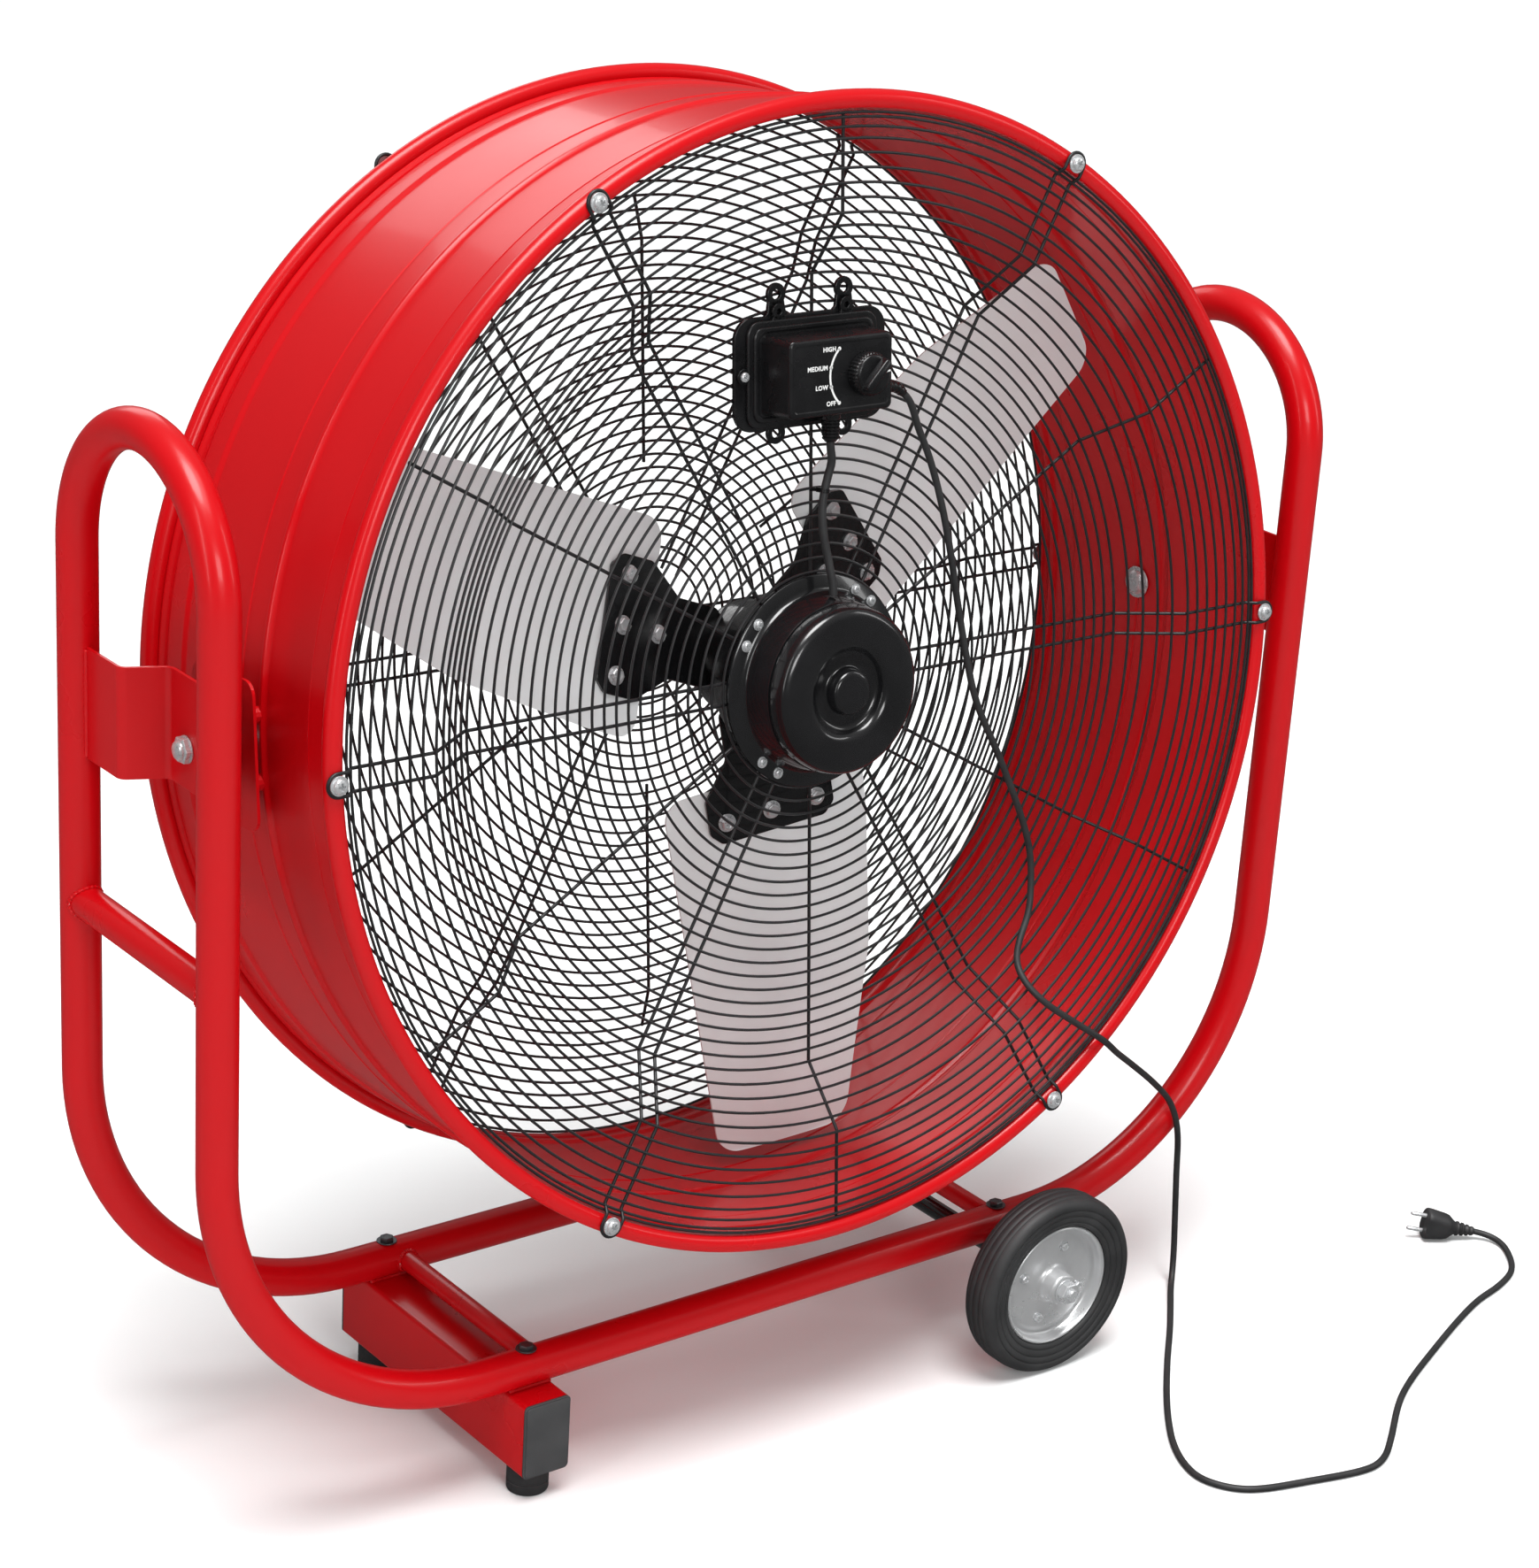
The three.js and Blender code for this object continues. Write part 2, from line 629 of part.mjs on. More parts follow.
function pivotSpacer() {
  const from = at(PLATE_OUTER_X + GAP, 0, 0);
  const to = at(BRACKET_INNER_X - GAP, 0, 0);
  return cut(rod(from, to, SPACER_RADIUS), pivotHole(WALL_OUTER, BRACKET_OUTER_X));
}

// The drum's pivot plate with its four standoffs, cut to the curve of the drum's wall.
function drumPlate(side) {
  const halfDepth = (PLATE_LONG_SIDE + PLATE_SHORT_SIDE) / 2;
  const middle = PLATE_LONG_SIDE - halfDepth;
  const shape = roundedRectangle(halfDepth, PLATE_HEIGHT / 2, PLATE_CORNER);
  const plate = raised(shape, PLATE_SHEET).applyMatrix4(TO_SIDE).translate(PLATE_INNER_X, middle, 0);
  const standoffYs = [STANDOFF_INSET - PLATE_SHORT_SIDE, PLATE_LONG_SIDE - 2 * STANDOFF_INSET];
  const standoffs = standoffYs.flatMap((y) =>
    [-STANDOFF_Z, STANDOFF_Z].map((z) =>
      rod(at(WALL_INNER - WALL, y, z), at(PLATE_INNER_X + 1, y, z), STANDOFF_RADIUS, 12),
    ),
  );
  const round = (radius, from, to) => rod(at(0, from, 0), at(0, to, 0), radius, ROUND_SIDES);
  const wall = round(WALL_OUTER + GAP, -PLATE_HEIGHT, PLATE_HEIGHT);
  const swageHalf = SWAGE_WIDTH / 2 + GAP;
  const swageRadius = WALL_OUTER + SWAGE_HEIGHT + GAP;
  const swageY = side * SWAGE_Y;
  const swage = round(swageRadius, swageY - swageHalf, swageY + swageHalf);
  const hole = pivotHole(WALL_INNER, BRACKET_OUTER_X);
  return cut(joined(plate, ...standoffs), wall, swage, hole);
}

function pivotBolt() {
  const underHead = WALL_INNER - 1.5; // clear of the facets of the drum's wall
  const end = BRACKET_OUTER_X + GAP + PIVOT_NUT_LENGTH - NUT_CROWN - GAP;
  const outline = [
    [0, underHead - PIVOT_HEAD_HEIGHT],
    [PIVOT_HEAD_RADIUS * 0.6, underHead - PIVOT_HEAD_HEIGHT + 1],
    [PIVOT_HEAD_RADIUS, underHead - 3],
    [PIVOT_HEAD_RADIUS, underHead],
    [PIVOT_RADIUS, underHead],
    [PIVOT_RADIUS, end],
    [0, end],
  ];
  return turned(outline, ROD_SIDES).rotateZ(-90 * DEGREE);
}

function addPivots(frame, drum) {
  for (const [name, side] of sides) {
    const turn = side < 0 ? Math.PI : 0;
    const nut = domeNut(PIVOT_NUT_RADIUS, PIVOT_NUT_LENGTH, PIVOT_RADIUS, ROD_SIDES);
    nut.rotateZ(-90 * DEGREE).translate(BRACKET_OUTER_X + GAP, 0, 0);
    const fixed = new THREE.Group();
    fixed.position.z = PIVOT_Z;
    fixed.rotation.z = turn;
    fixed.add(piece(`${name}_pivot_bracket`, pivotBracket(), redPaint));
    fixed.add(piece(`${name}_pivot_spacer`, pivotSpacer(), blackPlastic));
    frame.add(fixed);
    const tilting = new THREE.Group();
    tilting.rotation.z = turn;
    tilting.add(piece(`${name}_drum_plate`, drumPlate(side), redPaint));
    tilting.add(piece(`${name}_pivot_bolt`, pivotBolt(), zinc));
    tilting.add(piece(`${name}_pivot_nut`, nut, zinc));
    drum.add(tilting);
  }
}

// ---------------------------------------------------------------- drum
function drumShell() {
  const swage = [
    [WALL_OUTER, SWAGE_Y - SWAGE_WIDTH / 2],
    [WALL_OUTER + SWAGE_HEIGHT, SWAGE_Y - SWAGE_WIDTH / 6],
    [WALL_OUTER + SWAGE_HEIGHT, SWAGE_Y + SWAGE_WIDTH / 6],
    [WALL_OUTER, SWAGE_Y + SWAGE_WIDTH / 2],
  ];
  const step = [
    [WALL_OUTER, REAR_STEP_Y],
    [WALL_OUTER + REAR_STEP_HEIGHT, REAR_STEP_Y + REAR_STEP_HEIGHT],
    [WALL_OUTER + REAR_STEP_HEIGHT, REAR_BEAD_Y - BEAD_RADIUS],
  ];
  const outline = [
    [WALL_INNER, FRONT_BEAD_Y],
    ...beadEdge(FRONT_BEAD_Y, -1),
    [WALL_OUTER, FRONT_BEAD_Y + BEAD_RADIUS],
    ...swage,
    ...step,
    ...beadEdge(REAR_BEAD_Y, 1).reverse(),
    [WALL_INNER, REAR_BEAD_Y],
  ];
  const pivots = pivotHole(-DRUM_RADIUS, DRUM_RADIUS);
  const screwHoles = around(SCREWS).map((angle) => screwRod(angle, SCREW_RADIUS + GAP));
  return cut(turned(outline, ROUND_SIDES), pivots, ...screwHoles);
}

// The bead's outer half circle, from its inner edge over the rim's edge and round to the wall.
function beadEdge(y, direction) {
  return arcPoints(BEAD_SIDES, 180, -45, (angle) => [
    BEAD_RING + BEAD_RADIUS * Math.cos(angle * DEGREE),
    y + direction * BEAD_RADIUS * Math.sin(angle * DEGREE),
  ]).slice(1);
}

const SCREW_SEAT_Y = FRONT_BEAD_Y - BEAD_RADIUS - GAP;

function screwRod(angle, radius) {
  const [x, z] = [BEAD_RING * Math.cos(angle), BEAD_RING * Math.sin(angle)];
  const [from, to] = [at(x, SCREW_SEAT_Y + SCREW_LENGTH, z), at(x, SCREW_SEAT_Y - 9, z)];
  return rod(from, to, radius, SCREW_SIDES);
}

function guardScrew() {
  const seat = -TAB_THICKNESS - GAP;
  const outline = [
    [0, SCREW_LENGTH - 1],
    [SCREW_RADIUS, SCREW_LENGTH - 1],
    [SCREW_RADIUS, seat],
    [SCREW_HEAD_RADIUS, seat],
    [SCREW_HEAD_RADIUS * 0.7, seat - SCREW_HEAD_HEIGHT],
    [0, seat - SCREW_HEAD_HEIGHT],
  ];
  return turned(outline, SCREW_SIDES);
}

function addDrum(drum) {
  drum.add(piece("drum_shell", drumShell(), redPaint));
  around(SCREWS).forEach((angle, i) => {
    const screw = piece(`guard_screw_${i + 1}`, guardScrew(), zinc);
    screw.position.set(BEAD_RING * Math.cos(angle), SCREW_SEAT_Y, BEAD_RING * Math.sin(angle));
    drum.add(screw);
  });
}

// ---------------------------------------------------------------- guards
// One ring of three-sided wire.
function guardRing(radius, y, sides = GUARD_SIDES) {
  const corners = [90, 210, 330].map((angle) => [
    radius + WIRE * Math.cos(angle * DEGREE),
    y + WIRE * Math.sin(angle * DEGREE),
  ]);
  return turned(corners, sides);
}

// A radial wire through [radius, y] points, along +X before it is turned to its place.
function guardBar(line, angle) {
  const strip = raised(stripShape(line, WIRE), 2 * WIRE).translate(0, 0, -WIRE);
  return strip.rotateY(-angle);
}

function evenly(count, from, to) {
  return Array.from({ length: count }, (_, i) => from + ((to - from) * (i + 1)) / (count + 1));
}

// The tab that a screw holds down on the bead, drawn out along +X.
function guardTab(angle) {
  const [back, front] = [SCREW_SEAT_Y, SCREW_SEAT_Y - TAB_THICKNESS];
  const half = TAB_WIDTH / 2;
  const flat = block(at(GUARD_RIM - WIRE, front, -half), at(BEAD_RING + TAB_REACH, back, half));
  const riser = block(at(GUARD_RIM - WIRE, front, -half), at(GUARD_RIM, GUARD_FRONT_Y, half));
  return [flat.rotateY(-angle), riser.rotateY(-angle)];
}

function frontGuard() {
  const inner = FLANGE_RADIUS - 3 * WIRE;
  const rings = [
    guardRing(GUARD_RIM, GUARD_FRONT_Y, ROUND_SIDES),
    guardRing(DISH_OUTER, GUARD_FRONT_Y),
    guardRing(DISH_INNER, GUARD_DISC_Y),
    ...evenly(DISC_RINGS, DISH_INNER, inner).map((radius) => guardRing(radius, GUARD_DISC_Y)),
    guardRing(inner, GUARD_DISC_Y),
  ];
  const line = [
    [inner - WIRE, GUARD_DISC_Y],
    [DISH_INNER, GUARD_DISC_Y],
    [DISH_OUTER, GUARD_FRONT_Y],
    [GUARD_RIM, GUARD_FRONT_Y],
  ];
  const bars = around(FRONT_BARS).map((angle) => guardBar(line, angle));
  const tabs = around(SCREWS).flatMap(guardTab);
  const holes = around(SCREWS).map((angle) => screwRod(angle, SCREW_RADIUS + GAP));
  return cut(joined(...rings, ...bars, ...tabs), ...holes);
}

function rearGuard() {
  const rings = [
    guardRing(GUARD_RIM, REAR_GUARD_Y, ROUND_SIDES),
    guardRing(REAR_DISH_OUTER, REAR_GUARD_Y),
    guardRing(REAR_DISH_INNER, REAR_DISC_Y),
    ...evenly(REAR_RINGS, REAR_DISH_INNER, REAR_HOLE).map((radius) => guardRing(radius, REAR_DISC_Y)),
    guardRing(REAR_HOLE, REAR_DISC_Y),
  ];
  const line = [
    [REAR_HOLE - WIRE, REAR_DISC_Y],
    [REAR_DISH_INNER, REAR_DISC_Y],
    [REAR_DISH_OUTER, REAR_GUARD_Y],
    [GUARD_RIM, REAR_GUARD_Y],
  ];
  return joined(...rings, ...around(REAR_BARS).map((angle) => guardBar(line, angle)));
}

function addGuards(drum) {
  drum.add(piece("front_guard", frontGuard(), darkWire));
  drum.add(piece("rear_guard", rearGuard(), darkWire));
}

// ---------------------------------------------------------------- motor
function motorHousing() {
  const bore = SHAFT_RADIUS + GAP;
  const slope = (MOTOR_WAIST - MOTOR_RADIUS) / (FLANGE_FRONT_Y - MOTOR_FRONT_Y);
  const atSplit = MOTOR_RADIUS + slope * (MOTOR_SPLIT_Y - MOTOR_FRONT_Y);
  const outline = [
    [0, MOTOR_SPLIT_Y],
    [atSplit, MOTOR_SPLIT_Y],
    [MOTOR_WAIST, FLANGE_FRONT_Y],
    [FLANGE_RADIUS, FLANGE_FRONT_Y],
    [FLANGE_RADIUS, FLANGE_BACK_Y],
    [MOTOR_WAIST, FLANGE_BACK_Y],
    [MOTOR_RADIUS, MOTOR_BACK_Y - 5],
    [MOTOR_RADIUS - 5, MOTOR_BACK_Y],
    [bore, MOTOR_BACK_Y],
    [bore, MOTOR_BACK_Y - SHAFT_DEPTH],
    [0, MOTOR_BACK_Y - SHAFT_DEPTH],
  ];
  return turned(outline, MOTOR_SIDES);
}

function motorEndCap() {
  const back = MOTOR_SPLIT_Y - GAP;
  const [grooveIn, grooveOut] = [-1, 1].map((side) => CAP_GROOVE + (side * CAP_GROOVE_WIDTH) / 2);
  const outline = [
    [0, back],
    [MOTOR_RADIUS + 2, back],
    [MOTOR_RADIUS, MOTOR_FRONT_Y + 5],
    [MOTOR_RADIUS - 4, MOTOR_FRONT_Y],
    [grooveOut, MOTOR_FRONT_Y],
    [grooveOut, MOTOR_FRONT_Y + CAP_GROOVE_DEPTH],
    [grooveIn, MOTOR_FRONT_Y + CAP_GROOVE_DEPTH],
    [grooveIn, MOTOR_FRONT_Y],
    [CAP_BUTTON, MOTOR_FRONT_Y],
    [CAP_BUTTON - 3, MOTOR_FRONT_Y - CAP_BUTTON_HEIGHT],
    [0, MOTOR_FRONT_Y - CAP_BUTTON_HEIGHT],
  ];
  return turned(outline, MOTOR_SIDES);
}

function addMotor(drum) {
  drum.add(piece("motor_housing", motorHousing(), blackPaint));
  drum.add(piece("motor_end_cap", motorEndCap(), blackPaint));
}

// ---------------------------------------------------------------- rotor
function rotorHub() {
  const bore = SHAFT_RADIUS + GAP;
  const outline = [
    [bore, ROTOR_HUB_FRONT_Y],
    [ROTOR_HUB_RADIUS - 8, ROTOR_HUB_FRONT_Y],
    [ROTOR_HUB_RADIUS, ROTOR_HUB_FRONT_Y + 7],
    [ROTOR_HUB_RADIUS, ROTOR_HUB_BACK_Y - 4],
    [ROTOR_HUB_RADIUS - 8, ROTOR_HUB_BACK_Y],
    [bore, ROTOR_HUB_BACK_Y],
  ];
  return turned(outline, ROUND_SIDES);
}

const motorShaft = () =>
  rod(
    at(0, MOTOR_BACK_Y - SHAFT_DEPTH + GAP, 0),
    at(0, ROTOR_HUB_BACK_Y + 8, 0),
    SHAFT_RADIUS,
  );

const mix = (a, b, share) => a + (b - a) * share;

function frontEdgeAt(share) {
  const next = Math.max(1, BLADE_FRONT_EDGE.findIndex(([station]) => station >= share));
  const [from, fromV] = BLADE_FRONT_EDGE[next - 1];
  const [to, toV] = BLADE_FRONT_EDGE[next];
  return mix(fromV, toV, (share - from) / (to - from));
}

// A point of the blade's middle surface: u runs along the blade and v across it, both as shares.
function bladePoint(uShare, vShare) {
  const v = mix(BLADE_REAR_EDGE, frontEdgeAt(uShare), vShare);
  const end = Math.sqrt(ROTOR_RADIUS ** 2 - v ** 2);
  const u = mix(BLADE_ROOT, end, uShare);
  const armShare = (ARM_OUTER - BLADE_ROOT) / (ROTOR_RADIUS - BLADE_ROOT);
  const twistShare = Math.max(0, uShare - 1.2 * armShare) / (1 - 1.2 * armShare);
  const twist = mix(ROOT_TWIST, TIP_TWIST, twistShare);
  return at(u, (BLADE_REAR_EDGE - v) * Math.tan(twist * DEGREE), v);
}

// A thin closed sheet over a grid of points, even in thickness along Y.
function sheet(grid, thickness) {
  const [rows, columns] = [grid.length, grid[0].length];
  const layer = (offset) =>
    grid.flatMap((row) => row.flatMap((point) => [point.x, point.y + offset, point.z]));
  const positions = [...layer(-thickness / 2), ...layer(thickness / 2)];
  const back = rows * columns;
  const index = [];
  const quad = (a, b, c, d) => index.push(a, b, c, a, c, d);
  for (let row = 0; row < rows - 1; row++)
    for (let column = 0; column < columns - 1; column++) {
      const a = row * columns + column;
      quad(a, a + columns, a + columns + 1, a + 1);
      quad(back + a, back + a + 1, back + a + columns + 1, back + a + columns);
    }
  const border = [
    ...Array.from({ length: columns - 1 }, (_, i) => i),
    ...Array.from({ length: rows - 1 }, (_, i) => (i + 1) * columns - 1),
    ...Array.from({ length: columns - 1 }, (_, i) => rows * columns - 1 - i),
    ...Array.from({ length: rows - 1 }, (_, i) => (rows - 1 - i) * columns),
  ];
  border.forEach((here, i) => {
    const next = border[(i + 1) % border.length];
    quad(here, next, back + next, back + here);
  });
  const geometry = new THREE.BufferGeometry();
  geometry.setAttribute("position", new THREE.Float32BufferAttribute(positions, 3));
  geometry.setIndex(index);
  geometry.computeVertexNormals();
  return geometry;
}

function blade() {
  const shares = (count) => Array.from({ length: count + 1 }, (_, i) => i / count);
  const grid = shares(BLADE_STATIONS).map((u) => shares(BLADE_STRIPS).map((v) => bladePoint(u, v)));
  return sheet(grid, BLADE_SHEET);
}

// The arm lies on the front of the blade's root, at the root's twist, and meets the hub.
function bladeArm() {
  const inner = ROTOR_HUB_RADIUS - 14;
  const half = [
    [inner, ARM_WAIST_HALF],
    [ARM_INNER_BOLT_U - 20, ARM_WAIST_HALF],
    [ARM_OUTER - 48, ARM_HALF],
    [ARM_OUTER - 12, ARM_HALF],
    [ARM_OUTER, ARM_HALF - 12],
  ];
  const mirrored = half.map(([u, v]) => [u, -v]).reverse();
  const outline = [...half, ...mirrored].map(([u, v]) => new THREE.Vector2(u, v));
  const plate = raised(new THREE.Shape(outline), ARM_SHEET).applyMatrix4(TO_FRONT);
  const places = [
    [ARM_BOLT_U, -ARM_BOLT_SPREAD],
    [ARM_BOLT_U, 0],
    [ARM_BOLT_U, ARM_BOLT_SPREAD],
    [ARM_INNER_BOLT_U, 0],
  ];
  const bolts = places.map(([u, v]) => {
    const front = -ARM_SHEET - ARM_BOLT_HEIGHT;
    return rod(at(u, front, v), at(u, -ARM_SHEET / 2, v), ARM_BOLT_RADIUS, 6);
  });
  const twist = ROOT_TWIST * DEGREE;
  const lift = BLADE_REAR_EDGE * Math.tan(twist) - (BLADE_SHEET / 2 + GAP) / Math.cos(twist);
  const arm = joined(plate, ...bolts).rotateX(twist).translate(0, lift, 0);
  const hub = rod(
    at(0, 2 * ROTOR_HUB_FRONT_Y, 0),
    at(0, -ROTOR_HUB_FRONT_Y, 0),
    ROTOR_HUB_RADIUS + GAP,
    ROUND_SIDES,
  );
  return cut(arm, hub);
}

function addRotor(drum) {
  drum.add(piece("rotor_hub", rotorHub(), blackPaint));
  drum.add(piece("motor_shaft", motorShaft(), zinc));
  for (let i = 0; i < BLADES; i++) {
    const group = new THREE.Group();
    group.rotation.y = -(FIRST_BLADE + (i * 360) / BLADES) * DEGREE;
    group.add(piece(`blade_${i + 1}`, blade(), bladeSheet));
    group.add(piece(`blade_arm_${i + 1}`, bladeArm(), blackPaint));
    drum.add(group);
  }
}

// ---------------------------------------------------------------- control box
function boxBase() {
  const plate = raised(
    roundedRectangle(BASE_HALF_WIDTH, BASE_HALF_HEIGHT, BASE_CORNER),
    BASE_SHEET,
  );
  const half = EAR_WIDTH / 2;
  const ears = [-EAR_X, EAR_X].map((x) =>
    block(at(x - half, -EAR_BOTTOM, 0), at(x + half, EAR_TOP, BASE_SHEET)),
  );
  const holes = [-EAR_X, EAR_X].flatMap((x) =>
    [EAR_TOP - EAR_HOLE_INSET, EAR_HOLE_INSET - EAR_BOTTOM].map((z) =>
      rod(at(x, z, -1), at(x, z, BASE_SHEET + 1), EAR_HOLE_RADIUS, SCREW_SIDES),
    ),
  );
  return cut(joined(plate, ...ears), ...holes)
    .applyMatrix4(TO_FRONT)
    .translate(BOX_X, BOX_BACK_Y, BOX_Z);
}

function boxCover() {
  const depth = LID_SHEET + HOUSING_RISE;
  const lid = raised(roundedRectangle(LID_HALF_WIDTH, LID_HALF_HEIGHT, LID_CORNER), LID_SHEET);
  const housing = raised(
    roundedRectangle(HOUSING_HALF_WIDTH, HOUSING_HALF_HEIGHT, HOUSING_CORNER),
    depth,
  );
  const hollow = raised(
    roundedRectangle(
      HOUSING_HALF_WIDTH - BOX_WALL,
      HOUSING_HALF_HEIGHT - BOX_WALL,
      HOUSING_CORNER - BOX_WALL,
    ),
    depth,
  );
  const [from, to] = [at(KNOB_X, 0, -1), at(KNOB_X, 0, depth + 1)];
  const hole = rod(from, to, KNOB_STEM_RADIUS + GAP, HOLE_SIDES);
  return cut(joined(lid, housing), hollow.translate(0, 0, -BOX_WALL), hole)
    .applyMatrix4(TO_FRONT)
    .translate(BOX_X, LID_BACK_Y, BOX_Z);
}

function speedKnob() {
  const outline = [
    [0, KNOB_STEM_LENGTH],
    [KNOB_STEM_RADIUS, KNOB_STEM_LENGTH],
    [KNOB_STEM_RADIUS, 0],
    [KNOB_RADIUS, 0],
    [KNOB_RADIUS, -KNOB_HEIGHT + 2],
    [KNOB_RADIUS - 2, -KNOB_HEIGHT],
    [0, -KNOB_HEIGHT],
  ];
  const half = KNOB_GRIP_WIDTH / 2;
  const reach = KNOB_RADIUS - 2;
  const front = -KNOB_HEIGHT - KNOB_GRIP_HEIGHT;
  const grip = block(at(-half, front, -reach), at(half, -KNOB_HEIGHT + 1, reach));
  return joined(turned(outline, HOLE_SIDES), grip.rotateY(45 * DEGREE));
}

function gland() {
  const outline = [
    [0, 0],
    [GLAND_RADIUS, 0],
    [GLAND_RADIUS, GLAND_LENGTH / 2],
    [GLAND_RADIUS - 2, GLAND_LENGTH],
    [0, GLAND_LENGTH],
  ];
  return turned(outline, ROD_SIDES).rotateX(-90 * DEGREE);
}

// The strain relief's sleeve bends down from the box's side; its last point is where the cord begins.
const SLEEVE_ROUTE = [
  [0, 0, 0],
  [11, 0.3, 0],
  [23, 1.5, -2],
  [32, 2.7, -5.5],
  [39, 3.8, -10.5],
];
const sleevePoint = ([x, y, z]) => at(EXIT_X + x, EXIT_Y + y, EXIT_Z + z);

function strainRelief() {
  const collar = rod(
    sleevePoint([0, 0, 0]),
    sleevePoint([COLLAR_LENGTH, 0, 0]),
    COLLAR_RADIUS,
  );
  return joined(collar, tube(SLEEVE_ROUTE.map(sleevePoint), SLEEVE_RADIUS, 0));
}

function addControls(drum) {
  drum.add(piece("control_box_base", boxBase(), blackPlastic));
  drum.add(piece("control_box_cover", boxCover(), blackPlastic));
  const knob = piece("speed_knob", speedKnob(), blackPlastic);
  knob.position.set(BOX_X + KNOB_X, HOUSING_FRONT_Y - GAP, BOX_Z);
  const glandPiece = piece("cable_gland", gland(), blackPlastic);
  glandPiece.position.set(GLAND_X, EXIT_Y, BOX_Z - HOUSING_HALF_HEIGHT - GAP);
  drum.add(knob, glandPiece, piece("cord_strain_relief", strainRelief(), blackPlastic));
}

// ---------------------------------------------------------------- cable and cord
// From the gland down to the top of the motor, in the drum's axes.
const CABLE_ROUTE = [
  [GLAND_X, EXIT_Y, BOX_Z - HOUSING_HALF_HEIGHT - GLAND_LENGTH - 2 * GAP],
  [GLAND_X, EXIT_Y, BOX_Z - HOUSING_HALF_HEIGHT - GLAND_LENGTH - 8],
  [6, -152, 216],
  [3, -150, 202],
  [-1, -149.5, 187],
  [-4, -150, 168],
  [-3, -151, 145],
  [1, -153, 122],
  [4, -155, 103],
  [5, -156, MOTOR_WAIST + 8],
  [5, -156, MOTOR_WAIST - 1],
];

// The power cord down the front guard and over the drum's rim, in the drum's axes.
const CORD_ON_DRUM = [
  [98.8, -149.9, 265.5],
  [104, -148.6, 257.5],
  [108.5, -147.4, 248],
  [112.8, -146.6, 237],
  [126.6, -147, 207.3],
  [142.7, -146, 164],
  [157.4, -145, 109],
  [170.5, -142, 54],
  [184.3, -139, 2],
  [199.8, -137.5, -49.6],
  [232.9, -137.2, -115],
  [255.3, -137.2, -163],
  [269.9, -137.2, -199.7],
  [276.6, -137.5, -227.3],
  [276.6, -139, -257.3],
  [271, -143, -283],
  [254, -149, -309],
  [244.6, -156, -329],
  [244.6, -172, -347.5],
  [258, -185, -366.4],
  [284, -185, -386],
  [315, -185, -407.7],
  [341.7, -187, -426.9],
  [352, -184.5, -435.6],
];

// Then over the frame's bend and along the floor to the plug, in the frame's axes.
const CORD_TO_PLUG = [
  [371, -216, 345],
  [406, -203, 319],
  [462, -182, 276],
  [507.5, -164, 236],
  [528.5, -156.5, 206],
  [537, -154.5, 181],
  [542, -153.5, 135],
  [547, -153.5, 82],
  [550, -155, 34],
  [545, -161, 14],
  [534, -172, 4.5],
  [472, -238, 3.8],
  [412.5, -298, 3.8],
  [361, -353, 3.8],
  [328, -392, 3.8],
  [302, -428, 3.8],
  [285.5, -462, 3.8],
  [281, -493, 3.8],
  [303, -529, 3.8],
  [376, -554.6, 3.8],
  [448, -569, 3.8],
  [475, -560.6, 3.8],
  [506, -539, 3.8],
  [583.5, -481, 3.8],
  [691, -428, 3.8],
  [809, -379, 3.8],
  [860, -366, 3.8],
  [895, -352, 3.8],
  [914, -337, 3.8],
  [935.9, -307.2, 3.9],
  [940.4, -296.9, 4.6],
  [940.5, -285.8, 5.9],
  [936.3, -275.4, 7.6],
  [928.3, -267.6, 9.5],
  [925, -265.4, 10.2],
];
const PLUG_HEADING = 147; // degrees from +X
const PLUG_PITCH = 9.4;
const PIN_RADIUS = 2.4;
const PIN_SPREAD = 9.5;
const PIN_LENGTH = 19;

function fromDrum([x, y, z]) {
  return at(x, y, z).applyAxisAngle(X, DRUM_TILT * DEGREE).add(at(0, 0, PIVOT_Z));
}

// The sleeve's end, a gap further along the sleeve's last stretch.
function cordStart() {
  const [before, last] = SLEEVE_ROUTE.slice(-2).map(sleevePoint);
  const onward = last.clone().sub(before).setLength(GAP);
  return fromDrum(last.add(onward).toArray());
}

function powerCord() {
  const chosen = [
    cordStart(),
    ...CORD_ON_DRUM.map(fromDrum),
    ...CORD_TO_PLUG.map((point) => at(...point)),
  ];
  return tube(chosen, CORD_RADIUS, 0, CORD_SIDES);
}

// Drawn along +X from the cord's end; the pins stand one above the other.
function powerPlug() {
  const outline = [
    [0, 0],
    [5, 0],
    [8.5, 6],
    [9.5, 24],
    [15, 32],
    [17, 42],
    [18.5, 56],
    [18.5, 60],
    [0, 60],
  ];
  const body = turned(outline, ROD_SIDES).rotateZ(-90 * DEGREE);
  const pins = [-PIN_SPREAD, PIN_SPREAD].map((z) =>
    rod(at(59, 0, z), at(60 + PIN_LENGTH, 0, z), PIN_RADIUS, CORD_SIDES),
  );
  return joined(body, ...pins);
}

function addCords(frame, drum) {
  const cable = CABLE_ROUTE.map((point) => at(...point));
  drum.add(piece("motor_cable", tube(cable, MOTOR_CABLE_RADIUS, 0, CORD_SIDES), rubber));
  frame.add(piece("power_cord", powerCord(), rubber));
  const plug = piece("power_plug", powerPlug(), rubber);
  const heading = PLUG_HEADING * DEGREE;
  plug.position.set(...CORD_TO_PLUG.at(-1));
  plug.position.add(at(GAP * Math.cos(heading), GAP * Math.sin(heading), 0));
  plug.rotation.set(0, -PLUG_PITCH * DEGREE, heading, "ZYX");
  frame.add(plug);
}

